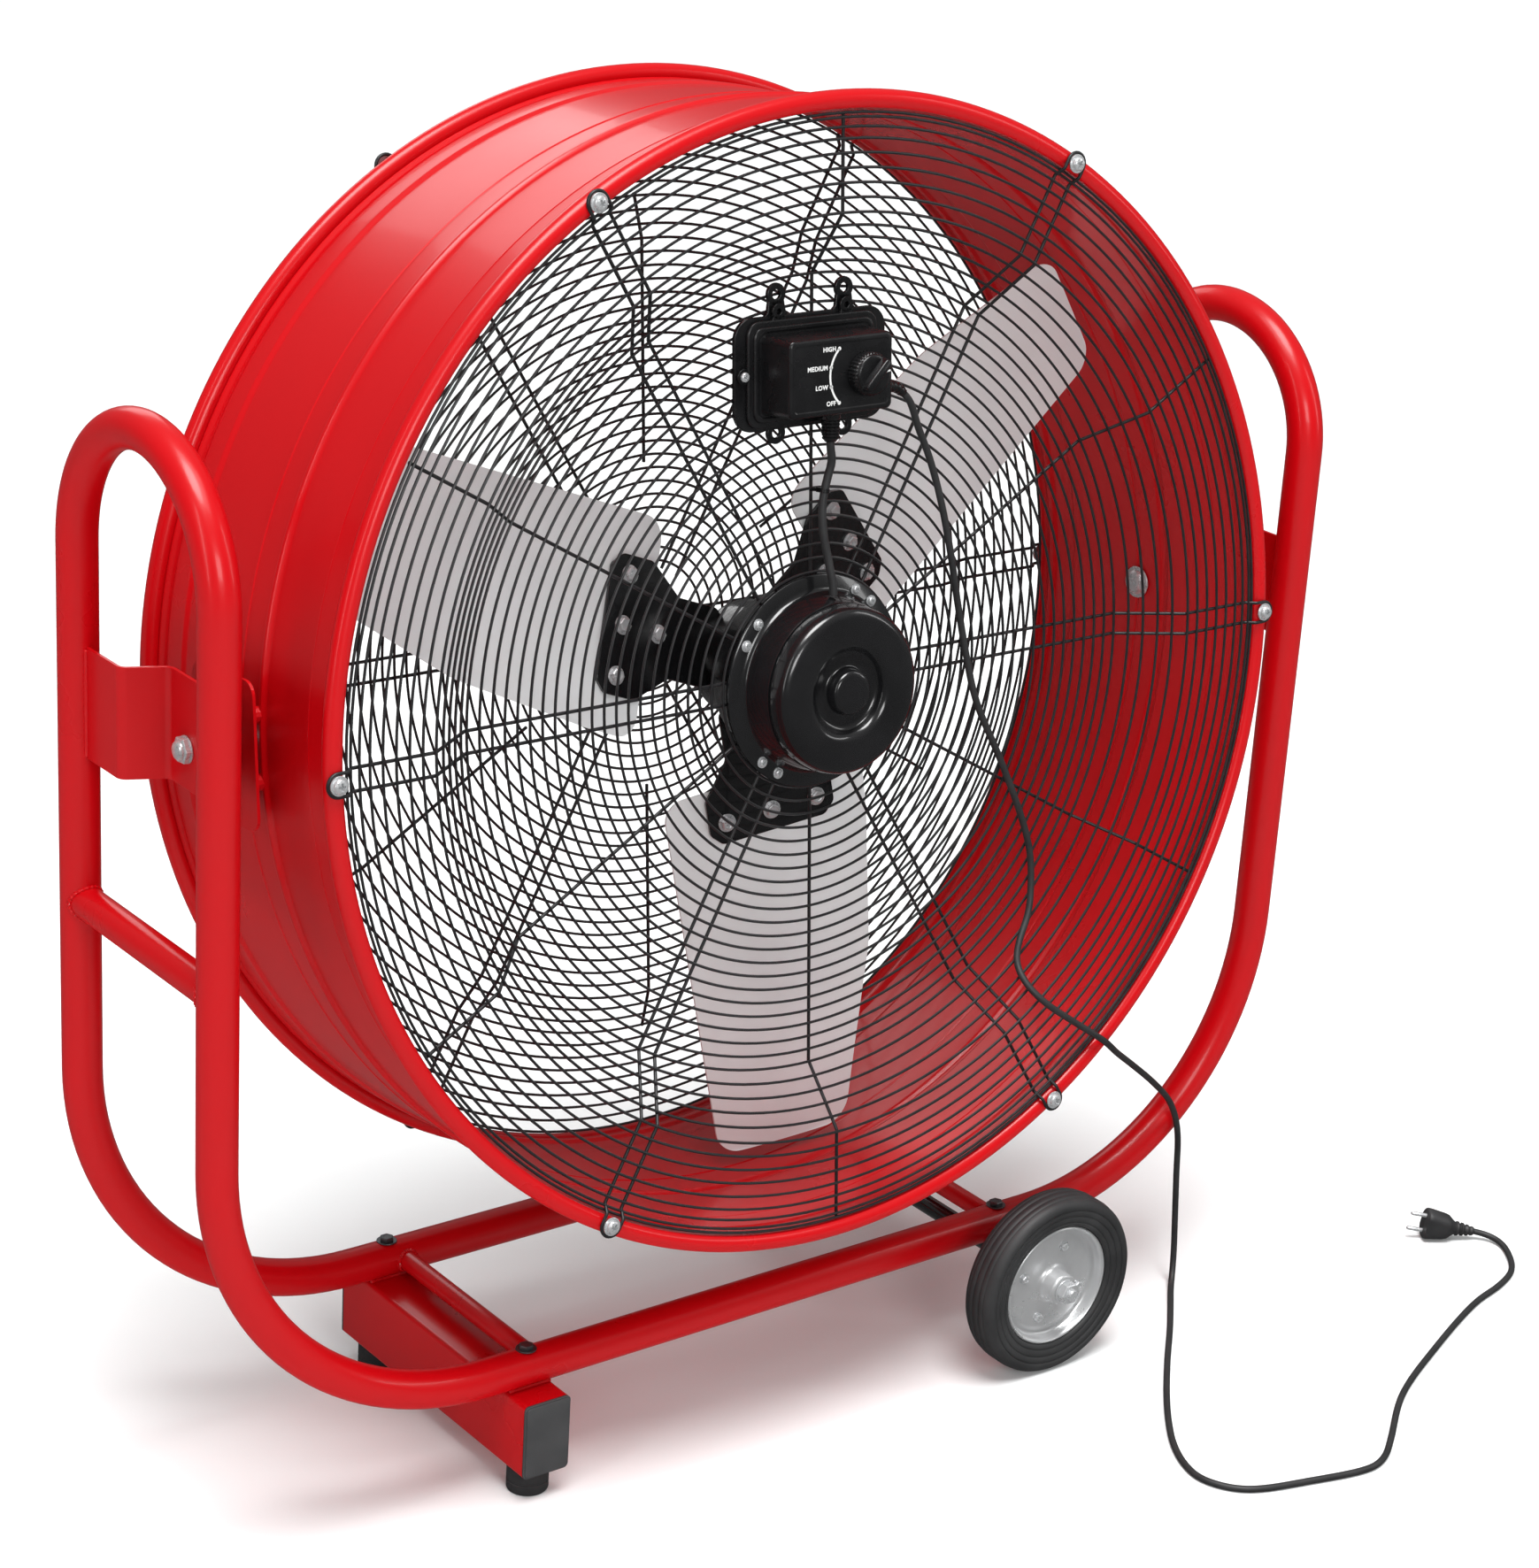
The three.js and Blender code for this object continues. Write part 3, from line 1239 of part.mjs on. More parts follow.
// ---------------------------------------------------------------- the whole fan
const fan = new THREE.Group();
const drum = new THREE.Group();
drum.position.z = PIVOT_Z;
drum.rotation.x = DRUM_TILT * DEGREE;
fan.add(drum);

addFrame(fan);
addFoot(fan);
addWheels(fan);
addPivots(fan, drum);
addDrum(drum);
addGuards(drum);
addMotor(drum);
addRotor(drum);
addControls(drum);
addCords(fan, drum);

export default fan;
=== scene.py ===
import json
import math

import bmesh
import bpy
from mathutils import Matrix, Vector


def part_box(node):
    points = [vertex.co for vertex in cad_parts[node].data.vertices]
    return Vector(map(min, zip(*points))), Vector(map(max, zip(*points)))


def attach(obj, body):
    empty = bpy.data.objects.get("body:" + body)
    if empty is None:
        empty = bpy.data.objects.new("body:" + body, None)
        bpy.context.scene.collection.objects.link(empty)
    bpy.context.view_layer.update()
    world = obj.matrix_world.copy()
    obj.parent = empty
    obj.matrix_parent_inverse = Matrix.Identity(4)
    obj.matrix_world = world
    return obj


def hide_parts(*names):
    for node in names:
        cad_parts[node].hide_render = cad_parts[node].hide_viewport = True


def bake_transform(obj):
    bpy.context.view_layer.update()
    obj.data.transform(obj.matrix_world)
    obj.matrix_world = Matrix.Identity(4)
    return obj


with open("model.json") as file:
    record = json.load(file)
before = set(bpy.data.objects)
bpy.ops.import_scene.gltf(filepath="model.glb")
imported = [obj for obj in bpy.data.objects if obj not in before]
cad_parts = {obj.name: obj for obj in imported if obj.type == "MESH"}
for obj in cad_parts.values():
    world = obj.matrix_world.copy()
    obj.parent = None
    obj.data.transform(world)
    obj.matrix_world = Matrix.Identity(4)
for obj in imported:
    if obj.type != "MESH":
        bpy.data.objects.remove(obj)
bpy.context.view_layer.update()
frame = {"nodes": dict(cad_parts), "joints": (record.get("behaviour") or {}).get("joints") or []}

# ---------------------------------------------------------------- camera
# The studio camera stands to the left of the fan's control side and a little above the drum.
# Its lens, roll and shift give the photograph's frame.
CAMERA_PLACE = (-2.0404, -2.6867, 1.8895)
CAMERA_AZIMUTH = -39.584
CAMERA_LOOKS_DOWN = 20.743
CAMERA_ROLL = 4.137


def turned_by(degrees, axis):
    return Matrix.Rotation(math.radians(degrees), 4, axis)


studio_camera = bpy.data.objects.new("studio_camera", bpy.data.cameras.new("studio_camera"))
bpy.context.scene.collection.objects.link(studio_camera)
studio_camera.data.sensor_width = 36.0
studio_camera.data.lens = 82.634
studio_camera.data.shift_x = -0.0587
studio_camera.data.shift_y = 0.0216
studio_camera.data.clip_end = 100.0
studio_camera.matrix_world = (
    Matrix.Translation(CAMERA_PLACE)
    @ turned_by(CAMERA_AZIMUTH, "Z")
    @ turned_by(90 - CAMERA_LOOKS_DOWN, "X")
    @ turned_by(CAMERA_ROLL, "Z")
)
bpy.context.scene.camera = studio_camera

# ---------------------------------------------------------------- power cord
# A round black rubber mains lead, 7 mm thick, fed out of the control box's side.
# It hangs down the front guard, over the drum's rim and the frame's bend, and lies on the floor.
# Shapes are drawn in millimetres, each as a list of points and a list of faces.
CORD_RADIUS = 3.5
CORD_STEP = 5.0
CORD_START = [91.98, -150.48, 270.27]
CORD_ON_DRUM = [
    [98.8, -149.9, 265.5],
    [104, -148.6, 257.5],
    [108.5, -147.4, 248],
    [112.8, -146.6, 237],
    [126.6, -147, 207.3],
    [142.7, -146, 164],
    [157.4, -145, 109],
    [170.5, -142, 54],
    [184.3, -139, 2],
    [199.8, -137.5, -49.6],
    [232.9, -137.2, -115],
    [255.3, -137.2, -163],
    [269.9, -137.2, -199.7],
    [276.6, -137.5, -227.3],
    [276.6, -139, -257.3],
    [271, -143, -283],
    [254, -149, -309],
    [244.6, -156, -329],
    [244.6, -172, -347.5],
    [258, -185, -366.4],
    [284, -185, -386],
    [315, -185, -407.7],
    [341.7, -187, -426.9],
    [352, -184.5, -435.6],
]
CORD_TO_PLUG = [
    [371, -216, 345],
    [406, -203, 319],
    [462, -182, 276],
    [507.5, -164, 236],
    [528.5, -156.5, 206],
    [537, -154.5, 181],
    [542, -153.5, 135],
    [547, -153.5, 82],
    [550, -155, 34],
    [545, -161, 14],
    [534, -172, 4.5],
    [472, -238, 3.8],
    [412.5, -298, 3.8],
    [361, -353, 3.8],
    [328, -392, 3.8],
    [302, -428, 3.8],
    [285.5, -462, 3.8],
    [281, -493, 3.8],
    [303, -529, 3.8],
    [376, -554.6, 3.8],
    [448, -569, 3.8],
    [475, -560.6, 3.8],
    [506, -539, 3.8],
    [583.5, -481, 3.8],
    [691, -428, 3.8],
    [809, -379, 3.8],
    [860, -366, 3.8],
    [895, -352, 3.8],
    [914, -337, 3.8],
    [935.9, -307.2, 3.9],
    [940.4, -296.9, 4.6],
    [940.5, -285.8, 5.9],
    [936.3, -275.4, 7.6],
    [928.3, -267.6, 9.5],
    [925, -265.4, 10.2],
]
CORD_ON_FLOOR_Z = 3.8

TO_METRES = 0.001
spin_axis = next(j["axis"] for j in frame["joints"] if j["name"] == "rotor_spin")
bolt_low, bolt_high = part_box("right_pivot_bolt")
PIVOT_Z = (bolt_low.z + bolt_high.z) / 2 / TO_METRES
AS_BUILT = Matrix.Identity(4)
IN_DRUM = Matrix.Translation((0, 0, PIVOT_Z)) @ Matrix.Rotation(
    math.atan2(spin_axis[2], spin_axis[1]), 4, "X"
)


def together(*shapes):
    points, faces = [], []
    for some_points, some_faces in shapes:
        first = len(points)
        points.extend(some_points)
        faces.extend(tuple(first + i for i in face) for face in some_faces)
    return points, faces


def placed(shape, matrix):
    return [matrix @ Vector(point) for point in shape[0]], shape[1]


def moved(shape, x=0.0, y=0.0, z=0.0):
    return placed(shape, Matrix.Translation((x, y, z)))


# Smooth evenly spaced points through chosen ones.
def eased(chosen, step, floor=None):
    chosen = [Vector(p) for p in chosen]
    ends = [2 * chosen[0] - chosen[1]] + chosen + [2 * chosen[-1] - chosen[-2]]
    dense = []
    for a, b, c, d in zip(ends, ends[1:], ends[2:], ends[3:]):
        gaps = [max((q - p).length ** 0.5, 1e-6) for p, q in ((a, b), (b, c), (c, d))]
        out = (c - b) / gaps[1] - (c - a) / (gaps[0] + gaps[1]) + (b - a) / gaps[0]
        into = (d - c) / gaps[2] - (d - b) / (gaps[1] + gaps[2]) + (c - b) / gaps[1]
        out, into = out * gaps[1], into * gaps[1]
        for i in range(24):
            t = i / 24
            dense.append(
                b * (2 * t**3 - 3 * t**2 + 1)
                + out * (t**3 - 2 * t**2 + t)
                + c * (3 * t**2 - 2 * t**3)
                + into * (t**3 - t**2)
            )
    dense.append(chosen[-1])
    even = evenly_spaced(dense, step)
    for _ in range(4):
        inner = [(a + 2 * b + c) / 4 for a, b, c in zip(even, even[1:], even[2:])]
        even = [even[0]] + inner + [even[-1]]
    if floor is not None:
        for point in even:
            point.z = max(point.z, floor)
    return even


def evenly_spaced(points, step):
    run = [0.0]
    for a, b in zip(points, points[1:]):
        run.append(run[-1] + (b - a).length)
    count = max(2, round(run[-1] / step))
    even, here = [], 0
    for i in range(count + 1):
        target = run[-1] * i / count
        while here < len(run) - 2 and run[here + 1] < target:
            here += 1
        share = (target - run[here]) / max(run[here + 1] - run[here], 1e-9)
        even.append(points[here].lerp(points[here + 1], share))
    return even


# A round bar or tube along a path; the radius may be one number or one for each point.
def drawn(path, radius, sides=24, closed=False):
    path = [Vector(p) for p in path]
    count = len(path)
    radii = radius if isinstance(radius, (list, tuple)) else [radius] * count
    if closed:
        heads = [(path[(i + 1) % count] - path[i - 1]).normalized() for i in range(count)]
    else:
        steps = [(b - a).normalized() for a, b in zip(path, path[1:])]
        heads = [steps[0]] + [(a + b).normalized() for a, b in zip(steps, steps[1:])] + [steps[-1]]
    normal = heads[0].orthogonal().normalized()
    normals = [normal]
    for a, b in zip(heads, heads[1:]):
        normal = a.rotation_difference(b) @ normal
        normals.append((normal - b * normal.dot(b)).normalized())
    drift = 0.0
    if closed:
        back = heads[-1].rotation_difference(heads[0]) @ normals[-1]
        drift = math.atan2(back.cross(normals[0]).dot(heads[0]), back.dot(normals[0]))
    points, faces = [], []
    for i in range(count):
        across = normals[i]
        other = heads[i].cross(across)
        lag = drift * i / count
        for k in range(sides):
            angle = 2 * math.pi * k / sides + lag
            spoke = across * math.cos(angle) + other * math.sin(angle)
            points.append(path[i] + spoke * radii[i])
    for i in range(count if closed else count - 1):
        for k in range(sides):
            a, b = i * sides + k, i * sides + (k + 1) % sides
            following = ((i + 1) % count) * sides
            faces.append((a, b, following + (k + 1) % sides, following + k))
    if not closed:
        faces.append(tuple(range(sides)))
        faces.append(tuple(range((count - 1) * sides, count * sides)))
    return points, faces


# Makes the Blender piece: its mesh in metres, its finish and the body it rides on.
def add_piece(
    name, shape, finish, body, stands_for=(), place=AS_BUILT, soft=0.0, crease=38, flats=False
):
    mesh = bpy.data.meshes.new(name)
    points = [(place @ Vector(point)) * TO_METRES for point in shape[0]]
    mesh.from_pydata(points, [], shape[1])
    solid = bmesh.new()
    solid.from_mesh(mesh)
    bmesh.ops.recalc_face_normals(solid, faces=solid.faces)
    solid.to_mesh(mesh)
    solid.free()
    mesh.shade_smooth()
    mesh.set_sharp_from_angle(angle=math.radians(crease))
    mesh.materials.append(finish)
    made = bpy.data.objects.new(name, mesh)
    bpy.context.scene.collection.objects.link(made)
    if soft:
        round_off(made, soft)
    elif flats:
        keep_flats(made)
    if body:
        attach(made, body)
    if stands_for:
        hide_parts(*stands_for)
    return made


# A small rounded edge where two faces meet at a sharp angle.
def round_off(made, width):
    bevel = made.modifiers.new("rounded_edges", "BEVEL")
    bevel.width = width * TO_METRES
    bevel.segments = 2
    bevel.limit_method = "ANGLE"
    bevel.angle_limit = math.radians(32)
    bevel.use_clamp_overlap = True
    keep_flats(made)


# Broad faces stay flat in the light beside narrow rounded ones.
def keep_flats(made):
    made.modifiers.new("flat_faces", "WEIGHTED_NORMAL").keep_sharp = True


# The shared look of a worked surface: patches of a second colour, uneven gloss and a fine grain.
def make_surface_skin():
    group = bpy.data.node_groups.new("surface_skin", "ShaderNodeTree")
    for name, kind in (
        ("Color", "NodeSocketColor"),
        ("Mark", "NodeSocketColor"),
        ("Patch Scale", "NodeSocketFloat"),
        ("Patch Amount", "NodeSocketFloat"),
        ("Gloss Low", "NodeSocketFloat"),
        ("Gloss High", "NodeSocketFloat"),
        ("Grain Scale", "NodeSocketFloat"),
    ):
        group.interface.new_socket(name, in_out="INPUT", socket_type=kind)
    for name, kind in (
        ("Color", "NodeSocketColor"),
        ("Roughness", "NodeSocketFloat"),
        ("Height", "NodeSocketFloat"),
    ):
        group.interface.new_socket(name, in_out="OUTPUT", socket_type=kind)
    nodes, wire = group.nodes, group.links.new
    given = nodes.new("NodeGroupInput")
    result = nodes.new("NodeGroupOutput")
    place = nodes.new("ShaderNodeTexCoord")
    patches = nodes.new("ShaderNodeTexNoise")
    patches.inputs["Detail"].default_value = 5.0
    patches.inputs["Roughness"].default_value = 0.6
    wire(place.outputs["Object"], patches.inputs["Vector"])
    wire(given.outputs["Patch Scale"], patches.inputs["Scale"])
    spread = nodes.new("ShaderNodeMapRange")
    spread.inputs["From Min"].default_value = 0.35
    spread.inputs["From Max"].default_value = 0.75
    wire(patches.outputs["Fac"], spread.inputs["Value"])
    share = nodes.new("ShaderNodeMath")
    share.operation = "MULTIPLY"
    wire(spread.outputs["Result"], share.inputs[0])
    wire(given.outputs["Patch Amount"], share.inputs[1])
    blend = nodes.new("ShaderNodeMix")
    blend.data_type = "RGBA"
    wire(share.outputs["Value"], blend.inputs["Factor"])
    wire(given.outputs["Color"], blend.inputs["A"])
    wire(given.outputs["Mark"], blend.inputs["B"])
    wire(blend.outputs["Result"], result.inputs["Color"])
    gloss = nodes.new("ShaderNodeMapRange")
    wire(patches.outputs["Fac"], gloss.inputs["Value"])
    gloss.inputs["From Min"].default_value = 0.3
    gloss.inputs["From Max"].default_value = 0.7
    wire(given.outputs["Gloss Low"], gloss.inputs["To Min"])
    wire(given.outputs["Gloss High"], gloss.inputs["To Max"])
    wire(gloss.outputs["Result"], result.inputs["Roughness"])
    grain = nodes.new("ShaderNodeTexNoise")
    grain.inputs["Detail"].default_value = 3.0
    wire(place.outputs["Object"], grain.inputs["Vector"])
    wire(given.outputs["Grain Scale"], grain.inputs["Scale"])
    wire(grain.outputs["Fac"], result.inputs["Height"])
    return group


surface_skin = make_surface_skin()


# A finish made of one Principled shader fed by the shared skin; what is the same all over the
# surface is set on the shader itself.
def finish_of(
    name,
    color,
    mark,
    patch=(9.0, 0.5),
    gloss=(0.3, 0.4),
    grain=(900.0, 0.05, 0.2),
    metallic=0.0,
    coat=(0.0, 0.1),
    specular=0.5,
):
    material = bpy.data.materials.new(name)
    material.use_nodes = True
    nodes, wire = material.node_tree.nodes, material.node_tree.links.new
    shader = nodes["Principled BSDF"]
    skin = nodes.new("ShaderNodeGroup")
    skin.node_tree = surface_skin
    skin.inputs["Color"].default_value = (*color, 1)
    skin.inputs["Mark"].default_value = (*mark, 1)
    skin.inputs["Patch Scale"].default_value, skin.inputs["Patch Amount"].default_value = patch
    skin.inputs["Gloss Low"].default_value, skin.inputs["Gloss High"].default_value = gloss
    skin.inputs["Grain Scale"].default_value = grain[0]
    bump = nodes.new("ShaderNodeBump")
    bump.inputs["Distance"].default_value = grain[1] * TO_METRES
    bump.inputs["Strength"].default_value = grain[2]
    wire(skin.outputs["Color"], shader.inputs["Base Color"])
    wire(skin.outputs["Roughness"], shader.inputs["Roughness"])
    wire(skin.outputs["Height"], bump.inputs["Height"])
    wire(bump.outputs["Normal"], shader.inputs["Normal"])
    shader.inputs["Metallic"].default_value = metallic
    shader.inputs["Coat Weight"].default_value, shader.inputs["Coat Roughness"].default_value = coat
    shader.inputs["Specular IOR Level"].default_value = specular
    return material


cord_rubber = finish_of(
    "cord_rubber",
    (0.018, 0.018, 0.019),
    (0.035, 0.035, 0.036),
    patch=(40.0, 0.6),
    gloss=(0.42, 0.55),
    grain=(1400.0, 0.06, 0.25),
)

cord_points = eased(
    [IN_DRUM @ Vector(CORD_START)]
    + [IN_DRUM @ Vector(p) for p in CORD_ON_DRUM]
    + [Vector(p) for p in CORD_TO_PLUG],
    CORD_STEP,
    floor=CORD_ON_FLOOR_Z,
)
power_lead = add_piece(
    "power_lead",
    drawn(cord_points, CORD_RADIUS, sides=16),
    cord_rubber,
    None,
    ["power_cord"],
)

# ---------------------------------------------------------------- strain relief
# A moulded black rubber sleeve, tapered and ringed, round the lead where it leaves the box.
# Its collar sits in the housing's side wall.
SLEEVE_START = [52.8, -154.35, 281.0]
SLEEVE_BENDS = [[0, 0, 0], [11, 0.3, 0], [23, 1.5, -2], [32, 2.7, -5.5], [39, 3.8, -10.5]]
SLEEVE_ROOT, SLEEVE_TIP = 6.4, 4.5
SLEEVE_RING, SLEEVE_PITCH = 0.45, 5

black_plastic = finish_of(
    "black_plastic",
    (0.005, 0.005, 0.0055),
    (0.011, 0.011, 0.012),
    patch=(30.0, 0.6),
    gloss=(0.22, 0.32),
    grain=(1800.0, 0.08, 0.3),
    specular=0.5,
)
sleeve_path = eased([Vector(SLEEVE_START) + Vector(p) for p in SLEEVE_BENDS], 1.2)
sleeve_radii = []
for step in range(len(sleeve_path)):
    along = step / (len(sleeve_path) - 1)
    ring = SLEEVE_RING if step % SLEEVE_PITCH < 3 and 0.2 < along < 0.94 else -SLEEVE_RING * 0.4
    sleeve_radii.append(SLEEVE_ROOT + (SLEEVE_TIP - SLEEVE_ROOT) * along + ring)
collar_from = Vector(SLEEVE_START)
collar_path = [collar_from + Vector((x, 0, 0)) for x in (0, 0.8, 6.2, 7.0, 8.0)]
collar = drawn(collar_path, [7.4, 8.0, 8.0, 7.6, 6.4], sides=6 * 5)
add_piece(
    "lead_strain_relief",
    together(drawn(sleeve_path, sleeve_radii, sides=24), collar),
    black_plastic,
    "drum",
    ["cord_strain_relief"],
    place=IN_DRUM,
    crease=50,
)

# ---------------------------------------------------------------- mains plug
# A straight two-pin rubber plug moulded on the lead: ringed neck, waist, round head with a
# flat on each side, and two plated pins, one above the other as it lies.
PLUG_HEADING = 147
PLUG_PITCH = 9.4
PLUG_GAP = 0.3
PLUG_NECK = [(0, 4.6), (1, 5.2), (3, 5.6), (4, 5.0), (6, 5.1), (7, 6.6), (9, 6.8), (10, 5.6), (12, 5.8)]
PLUG_NECK += [(13, 7.6), (15, 7.8), (16, 6.4), (18, 6.6), (19, 8.4), (21, 8.6), (22, 7.4), (24, 8.0)]
PLUG_HEAD = [(28, 11.0), (32, 14.2), (36, 15.4), (42, 16.2), (48, 17.2), (54, 18.0), (57.5, 18.2)]
PLUG_HEAD += [(59, 17.4), (60, 15.5)]
PLUG_FLATS_FROM, PLUG_FLAT_HALF = 30, 13.5
PIN_SPREAD, PIN_RADIUS = 9.5, 2.4

plated_steel = finish_of(
    "plated_steel",
    (0.66, 0.67, 0.68),
    (0.5, 0.51, 0.52),
    patch=(60.0, 0.55),
    gloss=(0.2, 0.36),
    grain=(1500.0, 0.05, 0.2),
    metallic=0.6,
)
plug_place = (
    Matrix.Translation(
        Vector(CORD_TO_PLUG[-1])
        + PLUG_GAP
        * Vector((math.cos(math.radians(PLUG_HEADING)), math.sin(math.radians(PLUG_HEADING)), 0))
    )
    @ turned_by(PLUG_HEADING, "Z")
    @ turned_by(-PLUG_PITCH, "Y")
)
plug_outline = PLUG_NECK + PLUG_HEAD
plug_body = drawn([(x, 0, 0) for x, _ in plug_outline], [r for _, r in plug_outline], sides=36)
for point in plug_body[0]:
    if point.x > PLUG_FLATS_FROM:
        point.y = max(-PLUG_FLAT_HALF, min(PLUG_FLAT_HALF, point.y))
mains_plug = add_piece(
    "mains_plug",
    plug_body,
    cord_rubber,
    "frame",
    ["power_plug"],
    place=plug_place,
    crease=60,
)
pin_shapes = []
for height in (-PIN_SPREAD, PIN_SPREAD):
    stations = [(59.0, PIN_RADIUS), (76.6, PIN_RADIUS), (78.2, 1.9), (78.9, 1.0)]
    pin_shapes.append(drawn([(x, 0, height) for x, _ in stations], [r for _, r in stations], sides=20))
plug_pins = add_piece(
    "plug_pins", together(*pin_shapes), plated_steel, "frame", place=plug_place, crease=60
)
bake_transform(power_lead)

# ---------------------------------------------------------------- frame tubes
# Two bent loops of 38 mm steel tube, painted red, joined at their tops by two hairpin handles.
# The handles are welded on and ground flush, so no joint shows.
TUBE_RADIUS = 19.0
UPRIGHT_X = 638.0
LOOP_Y = 130.0
RAIL_Z = 129.3
BEND_RADIUS = 294.0
HANDLE_JOIN_Z = PIVOT_Z + 144
HANDLE_STUB = 20.0
TUBE_SIDES = 40

red_paint = finish_of(
    "red_paint",
    (0.52, 0.0012, 0.0042),
    (0.46, 0.0010, 0.0034),
    patch=(3.5, 0.5),
    gloss=(0.26, 0.33),
    grain=(420.0, 0.12, 0.12),
    coat=(0.15, 0.08),
    specular=0.3,
)


def arc(centre, radius, start, end, steps):
    turns = [math.radians(start + (end - start) * i / steps) for i in range(steps + 1)]
    return [(centre[0] + radius * math.cos(a), centre[1] + radius * math.sin(a)) for a in turns]


for end, y in (("front", -LOOP_Y), ("rear", LOOP_Y)):
    bend_x, bend_z = UPRIGHT_X - BEND_RADIUS, RAIL_Z + BEND_RADIUS
    line = [(-UPRIGHT_X, HANDLE_JOIN_Z), (-UPRIGHT_X, 600)]
    line += arc((-bend_x, bend_z), BEND_RADIUS, 180, 270, 32)
    line += arc((bend_x, bend_z), BEND_RADIUS, 270, 360, 32)
    line += [(UPRIGHT_X, 600), (UPRIGHT_X, HANDLE_JOIN_Z)]
    add_piece(
        f"{end}_frame_loop",
        drawn([(x, y, z) for x, z in line], TUBE_RADIUS, TUBE_SIDES),
        red_paint,
        "frame",
        [f"{end}_loop"],
    )
for name, x in (("left", -UPRIGHT_X), ("right", UPRIGHT_X)):
    line = [(-LOOP_Y, HANDLE_JOIN_Z)]
    line += arc((0, HANDLE_JOIN_Z + HANDLE_STUB), LOOP_Y, 180, 0, 48)
    line += [(LOOP_Y, HANDLE_JOIN_Z)]
    add_piece(
        f"{name}_carry_handle",
        drawn([(x, y, z) for y, z in line], TUBE_RADIUS, TUBE_SIDES),
        red_paint,
        "frame",
        [f"{name}_handle"],
    )

# ---------------------------------------------------------------- crossbar and cross tubes
# A 32 mm crossbar between the two left uprights and two thin tubes between the rails.
# Each end is coped to the tube that it meets and welded all round, then painted red.
CROSSBAR_RADIUS = 16.0
CROSSBAR_Z = PIVOT_Z - 181
CROSS_TUBE_RADIUS = 10.0
FOOT_CROSS_X = -285.0
WHEEL_CROSS_X = 302.0
WELD_RADIUS = 2.4
WELD_RIPPLES = 26


# A rippled weld round a bar that runs along Y, where it meets a tube across it at the given y.
def weld_round(x, z, bar_radius, y, inward, upright):
    path, radii = [], []
    for i in range(WELD_RIPPLES * 4):
        angle = 2 * math.pi * i / (WELD_RIPPLES * 4)
        offset = (bar_radius + 0.4) * (math.cos(angle) if upright else math.sin(angle))
        depth = math.sqrt(TUBE_RADIUS**2 - offset**2)
        rim = bar_radius + 0.4
        path.append((x + rim * math.cos(angle), y + inward * depth, z + rim * math.sin(angle)))
        radii.append(WELD_RADIUS * (0.82 + 0.18 * math.cos(2 * math.pi * i / 4)))
    return drawn(path, radii, sides=8, closed=True)


for name, x, z, radius, upright in (
    ("left_crossbar", -UPRIGHT_X, CROSSBAR_Z, CROSSBAR_RADIUS, True),
    ("foot_cross_tube", FOOT_CROSS_X, RAIL_Z, CROSS_TUBE_RADIUS, False),
    ("wheel_cross_tube", WHEEL_CROSS_X, RAIL_Z, CROSS_TUBE_RADIUS, False),
):
    bar = drawn([(x, -LOOP_Y + 6, z), (x, LOOP_Y - 6, z)], radius, 32)
    welds = [weld_round(x, z, radius, y, -math.copysign(1, y), upright) for y in (-LOOP_Y, LOOP_Y)]
    add_piece(f"{name}_welded", together(bar, *welds), red_paint, "frame", [name])

# ---------------------------------------------------------------- rail bolts
# Hex-headed steel bolts with washers, dark with oxide, down through each rail.
# The two on the left hold the foot beam, the two on the right the axle.
FOOT_X, WHEEL_X = -300.0, 298.0
BOLT_HEAD_RADIUS = 7.5
BOLT_HEAD_HEIGHT = 5.4
BOLT_WASHER_RADIUS = 10.5

oxide_steel = finish_of(
    "oxide_steel",
    (0.09, 0.095, 0.1),
    (0.16, 0.165, 0.17),
    patch=(120.0, 0.7),
    gloss=(0.32, 0.46),
    grain=(1600.0, 0.05, 0.25),
    metallic=0.85,
)


# Turns a closed outline of (radius, along) round the Y axis.
def lathe(outline, sides):
    points, faces, rings = [], [], []
    for radius, along in outline:
        first = len(points)
        if radius < 1e-6:
            points.append(Vector((0, along, 0)))
            rings.append([first] * sides)
            continue
        for i in range(sides):
            angle = 2 * math.pi * i / sides
            points.append(Vector((radius * math.cos(angle), along, radius * math.sin(angle))))
        rings.append(list(range(first, first + sides)))
    for ring, following in zip(rings, rings[1:] + rings[:1]):
        for i in range(sides):
            j = (i + 1) % sides
            corners = tuple(dict.fromkeys((ring[i], ring[j], following[j], following[i])))
            if len(corners) > 2:
                faces.append(corners)
    return points, faces


# A hex head on its washer, from its seat at 0 out along -Y.
def hex_head(radius, height, washer, washer_height=1.2):
    head = [(0, -washer_height), (radius, -washer_height), (radius, -height + 0.9)]
    head += [(radius - 1.1, -height), (radius * 0.55, -height)]
    head += [(radius * 0.5, -height + 0.4), (0, -height + 0.4)]
    ring = [(0, 0), (washer, 0), (washer, -washer_height + 0.3)]
    ring += [(washer - 0.3, -washer_height), (0, -washer_height)]
    return together(lathe(head, 6), lathe(ring, 32))


FACING_UP = turned_by(-90, "X")
for station, x in (("foot", FOOT_X), ("wheel", WHEEL_X)):
    for end, y in (("front", -LOOP_Y), ("rear", LOOP_Y)):
        head = placed(hex_head(BOLT_HEAD_RADIUS, BOLT_HEAD_HEIGHT, BOLT_WASHER_RADIUS), FACING_UP)
        top = moved(head, x, y, RAIL_Z + TUBE_RADIUS - 0.2)
        shank = drawn([(x, y, RAIL_Z - TUBE_RADIUS - 8), (x, y, RAIL_Z)], 3.9, 16)
        add_piece(
            f"{station}_rail_bolt_{end}",
            together(top, shank),
            oxide_steel,
            "frame",
            [f"{station}_bolt_{end}"],
            soft=0.35,
        )

